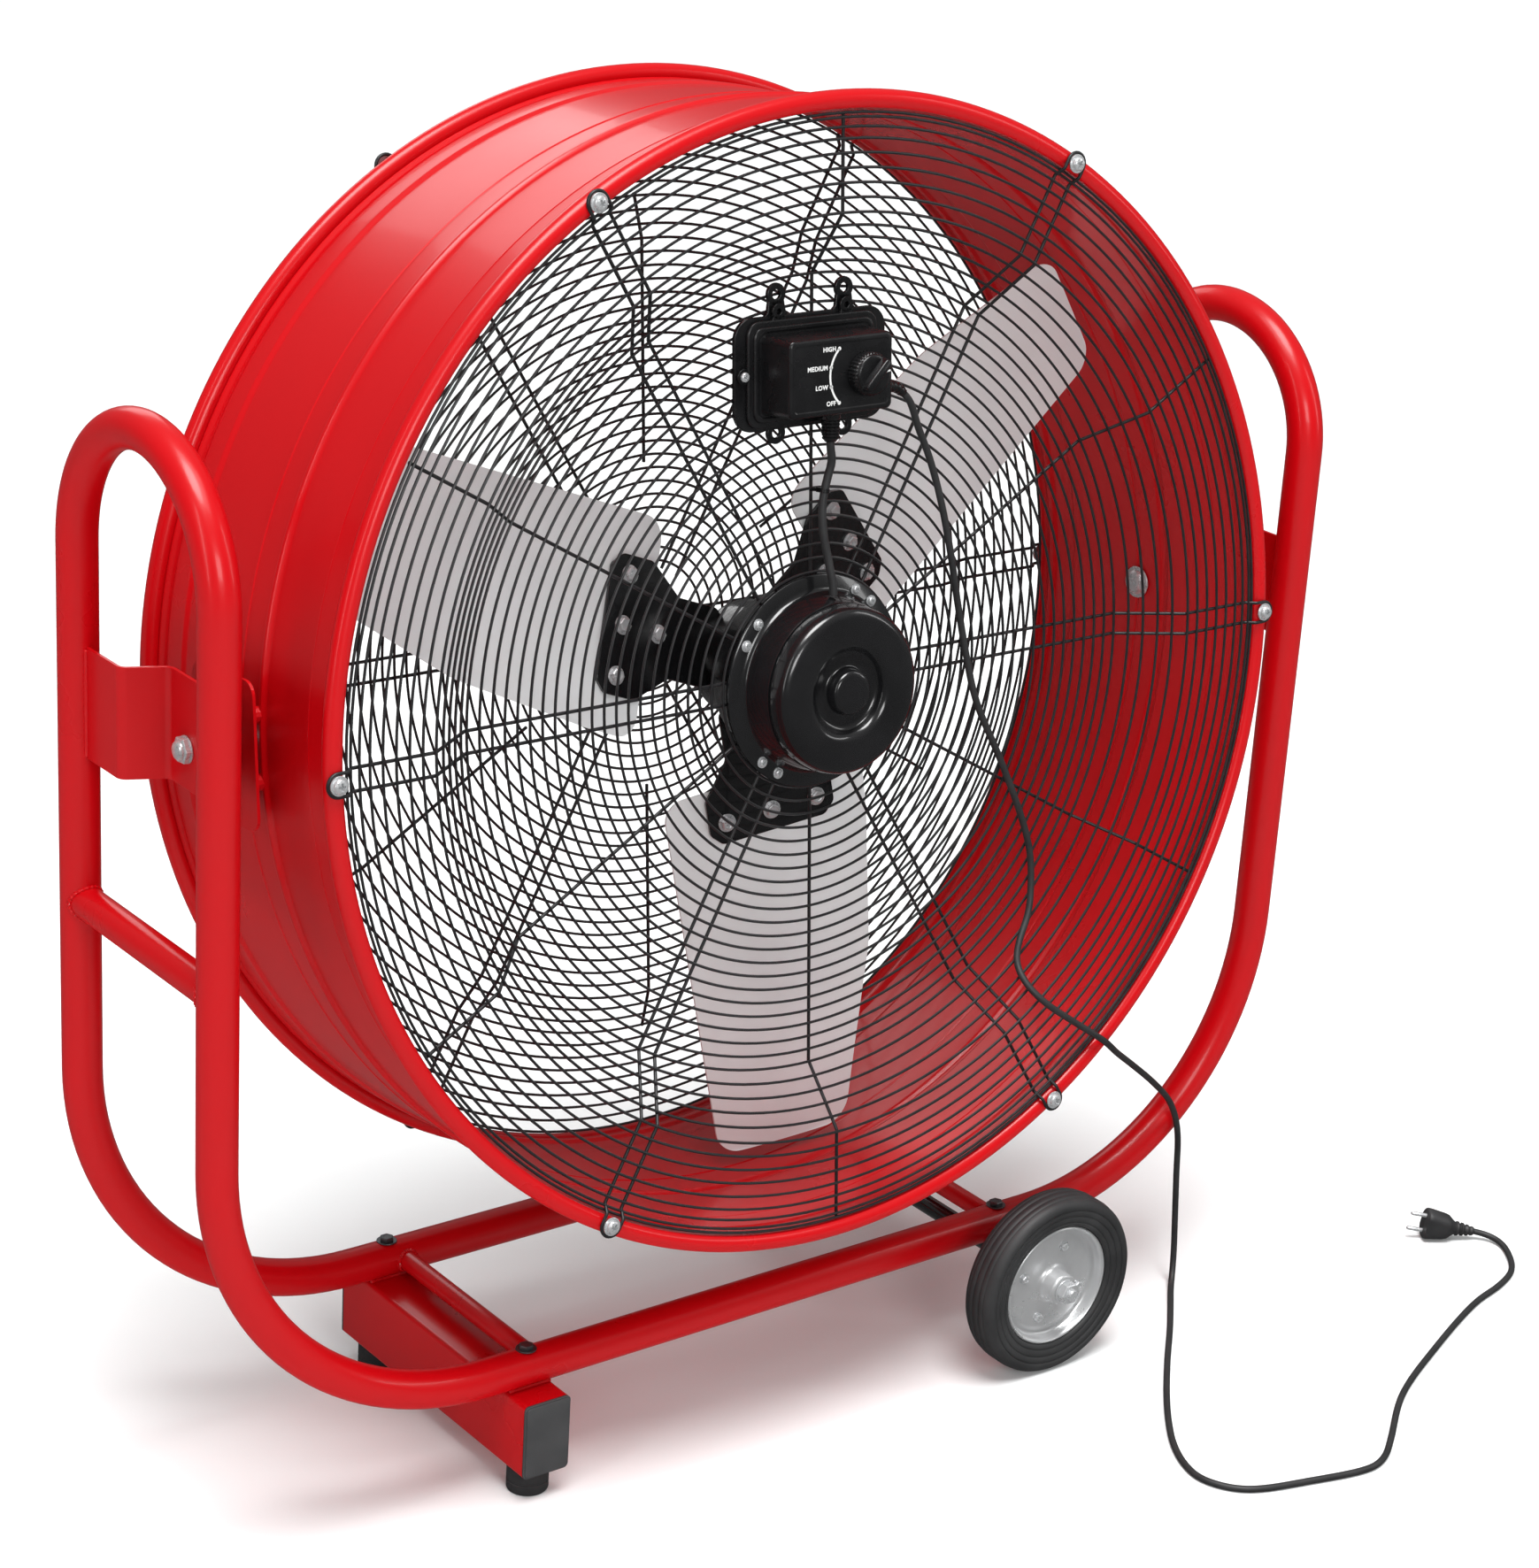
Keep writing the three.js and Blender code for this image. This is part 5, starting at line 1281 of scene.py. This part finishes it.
add_piece(
    "drive_shaft",
    together(lathe(shaft_outline, 40), shaft_washer),
    plated_steel,
    "rotor",
    ["motor_shaft"],
    place=IN_DRUM,
    crease=50,
)

# ---------------------------------------------------------------- blades and arms
# Three blades of 2 mm aluminium sheet with rounded corners, each bolted by four hex bolts to
# a black steel arm that is welded to the hub.
BLADES = 3
FIRST_BLADE = 40.0
BLADE_ROOT, ROTOR_RADIUS = 125.0, 525.0
BLADE_REAR_EDGE = -108.0
BLADE_SHEET = 2.0
BLADE_FRONT_EDGE = [(0, 103), (0.15, 101), (0.54, 86), (0.8, 57), (1, 35)]
BLADE_CORNER = 22.0
BLADE_STEPS, BLADE_STRIPS = 56, 20
BLADE_CAMBER = 3.0
ROOT_TWIST, TIP_TWIST = 13.0, 10.3
ARM_SHEET = 4.0
ARM_LINE = [(44, 40), (97, 40), (134, 68), (170, 68), (182, 56)]
ARM_LINE += [(182, -56), (170, -68), (134, -68), (97, -40), (44, -40)]
ARM_BOLTS = [(160, -49), (160, 0), (160, 49), (117, 0)]
ARM_LIFT = -26.27

blade_sheet = finish_of(
    "blade_sheet",
    (0.78, 0.785, 0.79),
    (0.70, 0.705, 0.71),
    patch=(7.0, 0.5),
    gloss=(0.36, 0.46),
    grain=(650.0, 0.05, 0.15),
)


def front_edge(share):
    for (a, from_v), (b, to_v) in zip(BLADE_FRONT_EDGE, BLADE_FRONT_EDGE[1:]):
        if share <= b:
            return from_v + (to_v - from_v) * (share - a) / (b - a)
    return BLADE_FRONT_EDGE[-1][1]


# How far the sheet's edges draw in where its corners are rounded.
def corner_inset(share):
    length = ROTOR_RADIUS - BLADE_ROOT
    near = min(share, 1 - share) * length
    if near >= BLADE_CORNER:
        return 0.0
    return BLADE_CORNER - math.sqrt(max(0.0, BLADE_CORNER**2 - (BLADE_CORNER - near) ** 2))


def blade_shape():
    # closer steps near both ends keep the corners round
    shares = [(1 - math.cos(math.pi * i / BLADE_STEPS)) / 2 for i in range(BLADE_STEPS + 1)]
    grid = []
    for share in shares:
        inset = corner_inset(share)
        low, high = BLADE_REAR_EDGE + inset, front_edge(share) - inset
        row = []
        for k in range(BLADE_STRIPS + 1):
            v = low + (high - low) * k / BLADE_STRIPS
            tip = math.sqrt(ROTOR_RADIUS**2 - v**2)
            u = BLADE_ROOT + (tip - BLADE_ROOT) * share
            past_arm = max(0.0, (u - 200) / (ROTOR_RADIUS - 200))
            twist = ROOT_TWIST + (TIP_TWIST - ROOT_TWIST) * past_arm
            bow = BLADE_CAMBER * min(1.0, 3 * past_arm) * math.sin(math.pi * k / BLADE_STRIPS)
            row.append(Vector((u, (BLADE_REAR_EDGE - v) * math.tan(math.radians(twist)) + bow, v)))
        grid.append(row)
    rows, columns = len(grid), BLADE_STRIPS + 1
    points = [p + Vector((0, side * BLADE_SHEET / 2, 0)) for side in (-1, 1) for row in grid for p in row]
    back = rows * columns
    faces = []
    for r in range(rows - 1):
        for c in range(columns - 1):
            a = r * columns + c
            for shift in (0, back):
                faces.append((shift + a, shift + a + 1, shift + a + columns + 1, shift + a + columns))
    border = list(range(columns)) + [r * columns + columns - 1 for r in range(1, rows)]
    border += [back - 2 - i for i in range(columns - 1)] + [r * columns for r in range(rows - 2, 0, -1)]
    faces += [(a, b, back + b, back + a) for a, b in zip(border, border[1:] + border[:1])]
    return points, faces


blade = blade_shape()
arm_place = Matrix.Translation((0, ARM_LIFT, 0)) @ turned_by(ROOT_TWIST, "X")
arm_plate = plate(filleted(ARM_LINE, 9.0, 6, closed=True), -ARM_SHEET, 0)
arm_bolt = hex_head(7.2, 5.6, 9.4)
arm_bolts = [moved(arm_bolt, u, -ARM_SHEET, v) for u, v in ARM_BOLTS]
blade_nut = placed(hex_head(7.2, 5.6, 9.4), turned_by(180, "Z"))
blade_nuts = [moved(blade_nut, u, BLADE_SHEET + 0.6, v) for u, v in ARM_BOLTS[:3]]
for i in range(BLADES):
    turned = IN_DRUM @ turned_by(-(FIRST_BLADE + i * 360 / BLADES), "Y")
    add_piece(
        f"fan_blade_{i + 1}",
        blade,
        blade_sheet,
        "rotor",
        [f"blade_{i + 1}"],
        place=turned,
        crease=50,
    )
    add_piece(
        f"arm_plate_{i + 1}",
        arm_plate,
        black_paint,
        "rotor",
        [f"blade_arm_{i + 1}"],
        place=turned @ arm_place,
        soft=0.6,
    )
    add_piece(
        f"arm_bolts_{i + 1}",
        together(*arm_bolts, *blade_nuts),
        plated_steel,
        "rotor",
        place=turned @ arm_place,
        soft=0.3,
    )

# ---------------------------------------------------------------- control box base
# A moulded black back plate, screwed to the guard through two long ears at the top and two
# short ones below.
BOX_X, BOX_Z = -7.5, 301.0
BASE_BACK_Y, BASE_SHEET = -131.55, 4.5
EAR_X, EAR_RADIUS, EAR_HOLE = 39.5, 10.5, 4.6
EAR_TOP_Z, EAR_LOW_Z = 72.5, -56.5

BOX_PLACE = IN_DRUM @ Matrix.Translation((BOX_X, 0, BOX_Z))


# A tab that widens into a plate's edge, with a round end and a hole.
def eared(x, from_z, to_z, radius, hole, spread, low, high):
    inward = 1 if to_z > from_z else -1
    near = to_z - inward * (hole + 1)
    half = math.sqrt(radius**2 - (hole + 1) ** 2)
    outline = [(x - radius - spread, from_z), (x - radius, from_z + inward * spread), (x - half, near)]
    outline += [(2 * x - a, z) for a, z in reversed(outline)]
    ring = lathe([(hole, low), (radius, low), (radius, high), (hole, high)], 36)
    return together(plate(outline, low, high), moved(ring, x=x, z=to_z))


base_front_y = BASE_BACK_Y - BASE_SHEET
base_shapes = [plate(rounded_rectangle(88, 53, 20, 10), base_front_y, BASE_BACK_Y)]
for x in (-EAR_X, EAR_X):
    base_shapes.append(eared(x, 50, EAR_TOP_Z, EAR_RADIUS, EAR_HOLE, 6, base_front_y + 0.6, BASE_BACK_Y))
    base_shapes.append(eared(x, -50, EAR_LOW_Z, EAR_RADIUS, EAR_HOLE, 4, base_front_y + 0.6, BASE_BACK_Y))
add_piece(
    "box_back_plate",
    together(*base_shapes),
    black_plastic,
    "drum",
    ["control_box_base"],
    place=BOX_PLACE,
    soft=0.7,
)

# ---------------------------------------------------------------- control box cover
# The moulded black cover: a flat lid with a raised bead, and a deep housing for the switch,
# drawn in a little towards its front. Two plated screws hold it at its sides.
LID_BACK_Y, LID_SHEET = -136.35, 4.0
HOUSING_FRONT_Y = -183.35
LID_SCREW_X = 79.0


# A closed body through outlines of equal count, each at its own y.
def lofted(stages):
    count = len(stages[0][0])
    points = [Vector((x, y, z)) for outline, y in stages for x, z in outline]
    faces = [tuple(range(count)), tuple(range((len(stages) - 1) * count, len(stages) * count))]
    for s in range(len(stages) - 1):
        a, b = s * count, (s + 1) * count
        faces += [(a + i, a + (i + 1) % count, b + (i + 1) % count, b + i) for i in range(count)]
    return points, faces


lid_front_y = LID_BACK_Y - LID_SHEET
lid_shapes = [
    lofted(
        [
            (rounded_rectangle(76, 50, 14, 8), LID_BACK_Y),
            (rounded_rectangle(76, 50, 14, 8), lid_front_y + 1.2),
            (rounded_rectangle(75, 49, 13, 8), lid_front_y + 0.3),
            (rounded_rectangle(73.8, 47.8, 12, 8), lid_front_y),
        ]
    ),
    lofted(
        [
            (rounded_rectangle(70.5, 44.8, 11, 8), lid_front_y + 1),
            (rounded_rectangle(70, 44.3, 10.6, 8), lid_front_y - 1.8),
            (rounded_rectangle(68.8, 43.2, 9.8, 8), lid_front_y - 2.6),
            (rounded_rectangle(66, 40.4, 8, 8), lid_front_y - 2.6),
            (rounded_rectangle(64.6, 39, 7, 8), lid_front_y - 1.6),
            (rounded_rectangle(63.8, 38.4, 6.6, 8), lid_front_y - 1.4),
        ]
    ),
    lofted(
        [
            (rounded_rectangle(62.6, 38, 7.6, 8), lid_front_y - 1),
            (rounded_rectangle(61.4, 37, 7, 8), lid_front_y - 3.4),
            (rounded_rectangle(60.2, 36.3, 6.4, 8), HOUSING_FRONT_Y + 3.4),
            (rounded_rectangle(59.7, 35.9, 6.0, 8), HOUSING_FRONT_Y + 1.6),
            (rounded_rectangle(58.5, 34.8, 5.2, 8), HOUSING_FRONT_Y + 0.4),
            (rounded_rectangle(57, 33.4, 4.2, 8), HOUSING_FRONT_Y),
            (rounded_rectangle(54.6, 31, 3.2, 8), HOUSING_FRONT_Y),
            (rounded_rectangle(54, 30.4, 3.0, 8), HOUSING_FRONT_Y + 0.5),
        ]
    ),
]
for x in (-EAR_X, EAR_X):
    lid_shapes.append(eared(x, 47, 57, 7.6, 2.8, 3, lid_front_y + 0.8, LID_BACK_Y))
screw_seat = [(0, LID_BACK_Y), (7.6, LID_BACK_Y), (7.6, lid_front_y + 1), (0, lid_front_y + 1)]
for x in (-LID_SCREW_X, LID_SCREW_X):
    lid_shapes.append(moved(lathe(screw_seat, 36), x=x))
add_piece(
    "box_front_cover",
    together(*lid_shapes),
    black_plastic,
    "drum",
    ["control_box_cover"],
    place=BOX_PLACE,
    soft=0.4,
    crease=32,
)
cover_screws = [moved(cross_head(4.6, 2.6), x, lid_front_y + 1, 0) for x in (-LID_SCREW_X, LID_SCREW_X)]
add_piece(
    "box_cover_screws",
    together(*cover_screws),
    plated_steel,
    "drum",
    place=BOX_PLACE,
    crease=35,
)

# ---------------------------------------------------------------- dial
# The dial is printed in white on the housing: an arc from OFF up to HIGH with a dot at each
# setting and its word beside it.
DIAL_X = 21.5
DIAL_RADIUS, DIAL_HALF_WIDTH = 35.0, 1.0
DIAL_FROM, DIAL_TO = 134, 226
DIAL_MARKS = [("HIGH", 134), ("MEDIUM", 166), ("LOW", 196), ("OFF", 226)]
PRINT_THICKNESS = 0.25
LETTER_SIZE = 5.9
LETTER_GAP = 3.9

white_print = finish_of(
    "white_print",
    (0.78, 0.78, 0.77),
    (0.6, 0.6, 0.59),
    patch=(160.0, 0.6),
    gloss=(0.5, 0.6),
    grain=(1500.0, 0.03, 0.2),
)
print_back_y = HOUSING_FRONT_Y + 0.6
print_front_y = HOUSING_FRONT_Y + 0.5 - PRINT_THICKNESS
dial_outer = arc((DIAL_X, 0), DIAL_RADIUS + DIAL_HALF_WIDTH, DIAL_FROM, DIAL_TO, 32)
dial_inner = arc((DIAL_X, 0), DIAL_RADIUS - DIAL_HALF_WIDTH, DIAL_TO, DIAL_FROM, 32)
dial_band = []
for a, b, c, d in zip(dial_outer, dial_outer[1:], dial_inner[::-1][1:], dial_inner[::-1]):
    dial_band.append(plate([a, b, c, d], print_front_y, print_back_y))
dial_shapes = list(dial_band)
letters = []
for word, angle in DIAL_MARKS:
    mark_x = DIAL_X + DIAL_RADIUS * math.cos(math.radians(angle))
    mark_z = DIAL_RADIUS * math.sin(math.radians(angle))
    dot = lathe([(0, print_front_y), (1.8, print_front_y), (1.8, print_back_y), (0, print_back_y)], 24)
    dial_shapes.append(moved(dot, x=mark_x, z=mark_z))
    text = bpy.data.curves.new(f"word_{word.lower()}", "FONT")
    text.body = word
    text.size = LETTER_SIZE
    text.align_x, text.align_y = "RIGHT", "CENTER"
    text.extrude = PRINT_THICKNESS / 2
    text.offset = 0.17
    text.space_character = 1.08
    drawn_word = bpy.data.objects.new(f"word_{word.lower()}", text)
    bpy.context.scene.collection.objects.link(drawn_word)
    bpy.context.view_layer.update()
    flat = bpy.data.meshes.new_from_object(drawn_word.evaluated_get(bpy.context.evaluated_depsgraph_get()))
    word_end = Vector((mark_x - LETTER_GAP, (print_front_y + print_back_y) / 2, mark_z))
    upright = Matrix.Translation(word_end) @ turned_by(90, "X")
    letters.append(
        placed(([v.co.copy() for v in flat.vertices], [tuple(p.vertices) for p in flat.polygons]), upright)
    )
    bpy.data.objects.remove(drawn_word)
add_piece("dial_print", together(*dial_shapes, *letters), white_print, "drum", place=BOX_PLACE)

# ---------------------------------------------------------------- speed knob
# A moulded black knob with a fluted skirt and a grip bar across its face.
# It turns on the switch's spindle through the housing; a white line marks its setting.
KNOB_X = 27.5
KNOB_RADIUS, KNOB_FLUTES = 21.0, 36
KNOB_BACK_Y = -183.65
GRIP_HALF_LENGTH, GRIP_HALF_WIDTH = 19.0, 4.6
GRIP_LEAN = 45.0
# how much the grip draws in, its corner and its y, from its foot out
GRIP_STAGES = [(-0.4, 4.6, -13), (0, 4.4, -14.4), (0.7, 3.8, -20.4), (1.3, 3.2, -21.5), (2.4, 2.4, -22)]


def fluted(radius, depth):
    outline = []
    for i in range(KNOB_FLUTES * 6):
        angle = 2 * math.pi * i / (KNOB_FLUTES * 6)
        out = radius - depth * (0.5 + 0.5 * math.cos(KNOB_FLUTES * angle))
        outline.append((out * math.cos(angle), out * math.sin(angle)))
    return outline


knob_skirt = lofted(
    [
        (fluted(KNOB_RADIUS - 0.5, 0.9), 0),
        (fluted(KNOB_RADIUS, 1.1), -0.8),
        (fluted(KNOB_RADIUS - 0.4, 1.1), -10.2),
        (fluted(KNOB_RADIUS - 1.6, 0.4), -11.2),
        (fluted(KNOB_RADIUS - 2.2, 0), -11.4),
        (fluted(KNOB_RADIUS - 2.4, 0), -13),
        (fluted(KNOB_RADIUS - 3.4, 0), -14),
        (fluted(KNOB_RADIUS - 6, 0), -14.2),
    ]
)
grip = lofted(
    [
        (rounded_rectangle(GRIP_HALF_LENGTH - shrink, GRIP_HALF_WIDTH - shrink * 0.7, corner, 6), y)
        for shrink, corner, y in GRIP_STAGES
    ]
)
KNOB_PLACE = IN_DRUM @ Matrix.Translation((BOX_X + KNOB_X, KNOB_BACK_Y, BOX_Z))
add_piece(
    "dial_knob",
    together(knob_skirt, placed(grip, turned_by(-GRIP_LEAN, "Y"))),
    black_plastic,
    "knob",
    ["speed_knob"],
    place=KNOB_PLACE,
    crease=48,
)
pointer = plate([(13.5, -0.7), (18.2, -0.7), (18.2, 0.7), (13.5, 0.7)], -14.5, -13.6)
add_piece(
    "knob_pointer",
    placed(pointer, turned_by(-8, "Y")),
    white_print,
    "knob",
    place=KNOB_PLACE,
)

# ---------------------------------------------------------------- motor cable
# A short black cable from the box's gland down to the motor, gathered by a cable tie where
# it bends, and held on the flange by a plated clip.
GLAND_X, GLAND_Y, GLAND_TOP_Z = 2.0, -154.35, 264.2
CABLE_RADIUS = 4.0
CABLE_ROUTE = [
    [2, -154.35, 233.9],
    [2, -154.35, 226.5],
    [6, -152, 216],
    [3, -150, 202],
    [-1, -149.5, 187],
    [-4, -150, 168],
    [-3, -151, 145],
    [1, -153, 122],
    [4, -155, 103],
    [5, -156, 96],
    [5, -156, 87],
]

gland_outline = [(0, 0), (9.3, 0), (9.5, -1), (9.5, -7), (8.9, -8.2)]
for i in range(6):
    ring_at, ring_radius = -9.4 - 3.2 * i, 9.2 - 0.22 * i
    gland_outline += [(ring_radius - 0.8, ring_at), (ring_radius, ring_at - 0.5)]
    gland_outline += [(ring_radius, ring_at - 1.8), (ring_radius - 0.8, ring_at - 2.3)]
gland_outline += [(6.4, -28.6), (5.6, -30), (0, -30)]
pointing_down = turned_by(90, "X")
add_piece(
    "cable_boot",
    moved(placed(lathe(gland_outline, 40), pointing_down), GLAND_X, GLAND_Y, GLAND_TOP_Z),
    black_plastic,
    "drum",
    ["cable_gland"],
    place=IN_DRUM,
    crease=45,
)
cable_points = [IN_DRUM @ p for p in eased(CABLE_ROUTE, 3.0)]
motor_lead = add_piece(
    "motor_lead", drawn(cable_points, CABLE_RADIUS, 20), cord_rubber, "drum", ["motor_cable"]
)
tie_middle, tie_next = Vector(CABLE_ROUTE[4]), Vector(CABLE_ROUTE[5])
tie_turn = (tie_next - tie_middle).to_track_quat("Y", "Z").to_matrix().to_4x4()
tie_band = lathe([(4.1, -1.8), (5.0, -1.8), (5.0, 1.8), (4.1, 1.8)], 32)
tie_lock = plate(rounded_rectangle(2.6, 2.2, 0.6, 3), -2.4, 2.4)
tie_tail = plate([(-0.6, 0), (0.6, 0), (0.9, 11), (-0.3, 11)], -1.6, 1.6)
add_piece(
    "cable_tie",
    together(tie_band, moved(tie_lock, x=6.6), moved(tie_tail, x=7.2, z=1.5)),
    black_plastic,
    "drum",
    place=IN_DRUM @ Matrix.Translation(tie_middle) @ tie_turn,
    soft=0.2,
)

# ---------------------------------------------------------------- studio
# A seamless white floor under a soft sky that is brighter overhead, with strip lights for the
# long highlights on the tubes. The paint doesn't mirror the floor. None of it is part of the fan.
FLOOR_HALF = 30.0

floor_mesh = bpy.data.meshes.new("studio_floor")
floor_corners = [(-1, -1), (1, -1), (1, 1), (-1, 1)]
floor_mesh.from_pydata([(x * FLOOR_HALF, y * FLOOR_HALF, 0) for x, y in floor_corners], [], [(0, 1, 2, 3)])
floor_white = bpy.data.materials.new("floor_white")
floor_white.use_nodes = True
floor_shader = floor_white.node_tree.nodes["Principled BSDF"]
floor_shader.inputs["Base Color"].default_value = (0.93, 0.95, 0.95, 1)
floor_shader.inputs["Roughness"].default_value = 0.95
floor_shader.inputs["Specular IOR Level"].default_value = 0.0
floor_shader.inputs["Emission Color"].default_value = (1, 1, 1, 1)
floor_shader.inputs["Emission Strength"].default_value = 0.04
floor_mesh.materials.append(floor_white)
studio_floor = bpy.data.objects.new("studio_floor", floor_mesh)
bpy.context.scene.collection.objects.link(studio_floor)
studio_floor.visible_glossy = False

studio_air = bpy.data.worlds.new("studio_air")
studio_air.use_nodes = True
air_nodes, air_wire = studio_air.node_tree.nodes, studio_air.node_tree.links.new
air_glow = air_nodes["Background"]
air_glow.inputs["Color"].default_value = (1, 1, 1, 1)
seen_or_lit = air_nodes.new("ShaderNodeLightPath")
air_way = air_nodes.new("ShaderNodeTexCoord")
air_height = air_nodes.new("ShaderNodeSeparateXYZ")
air_wire(air_way.outputs["Generated"], air_height.inputs["Vector"])
air_light = air_nodes.new("ShaderNodeMapRange")
air_light.inputs["From Min"].default_value = 0.1
air_light.inputs["From Max"].default_value = 0.95
air_light.inputs["To Min"].default_value = 0.12
air_light.inputs["To Max"].default_value = 0.4
air_wire(air_height.outputs["Z"], air_light.inputs["Value"])
air_strength = air_nodes.new("ShaderNodeMapRange")
air_strength.inputs["To Max"].default_value = 1.0
air_wire(air_light.outputs["Result"], air_strength.inputs["To Min"])
air_wire(seen_or_lit.outputs["Is Camera Ray"], air_strength.inputs["Value"])
air_wire(air_strength.outputs["Result"], air_glow.inputs["Strength"])
bpy.context.scene.world = studio_air
bpy.context.scene.view_settings.view_transform = "Standard"


def light_at(name, place, aim, width, height, power):
    lamp = bpy.data.lights.new(name, "AREA")
    lamp.shape = "RECTANGLE"
    lamp.size, lamp.size_y = width, height
    lamp.energy = power
    made = bpy.data.objects.new(name, lamp)
    made.location = place
    made.rotation_euler = (Vector(aim) - Vector(place)).to_track_quat("-Z", "Y").to_euler()
    bpy.context.scene.collection.objects.link(made)


light_at("overhead_softbox", (-0.4, -0.6, 3.6), (0, 0, 0.7), 2.2, 1.8, 40)
light_at("front_softbox", (-1.2, -4.2, 2.4), (0, 0, 0.8), 1.6, 1.2, 50)
light_at("left_strip", (-3.4, -1.2, 2.2), (0, 0, 0.7), 0.4, 2.6, 16)
light_at("right_strip", (3.0, -2.2, 2.2), (0.2, 0, 0.7), 0.4, 2.4, 14)
light_at("back_softbox", (0.6, 3.2, 2.6), (0, 0, 0.8), 1.8, 1.4, 16)
daylight = bpy.data.objects.new("top_fill", bpy.data.lights.new("top_fill", "SUN"))
daylight.data.energy = 2.5
daylight.data.angle = math.radians(32)
daylight.rotation_euler = (math.radians(12), math.radians(-8), 0)
bpy.context.scene.collection.objects.link(daylight)
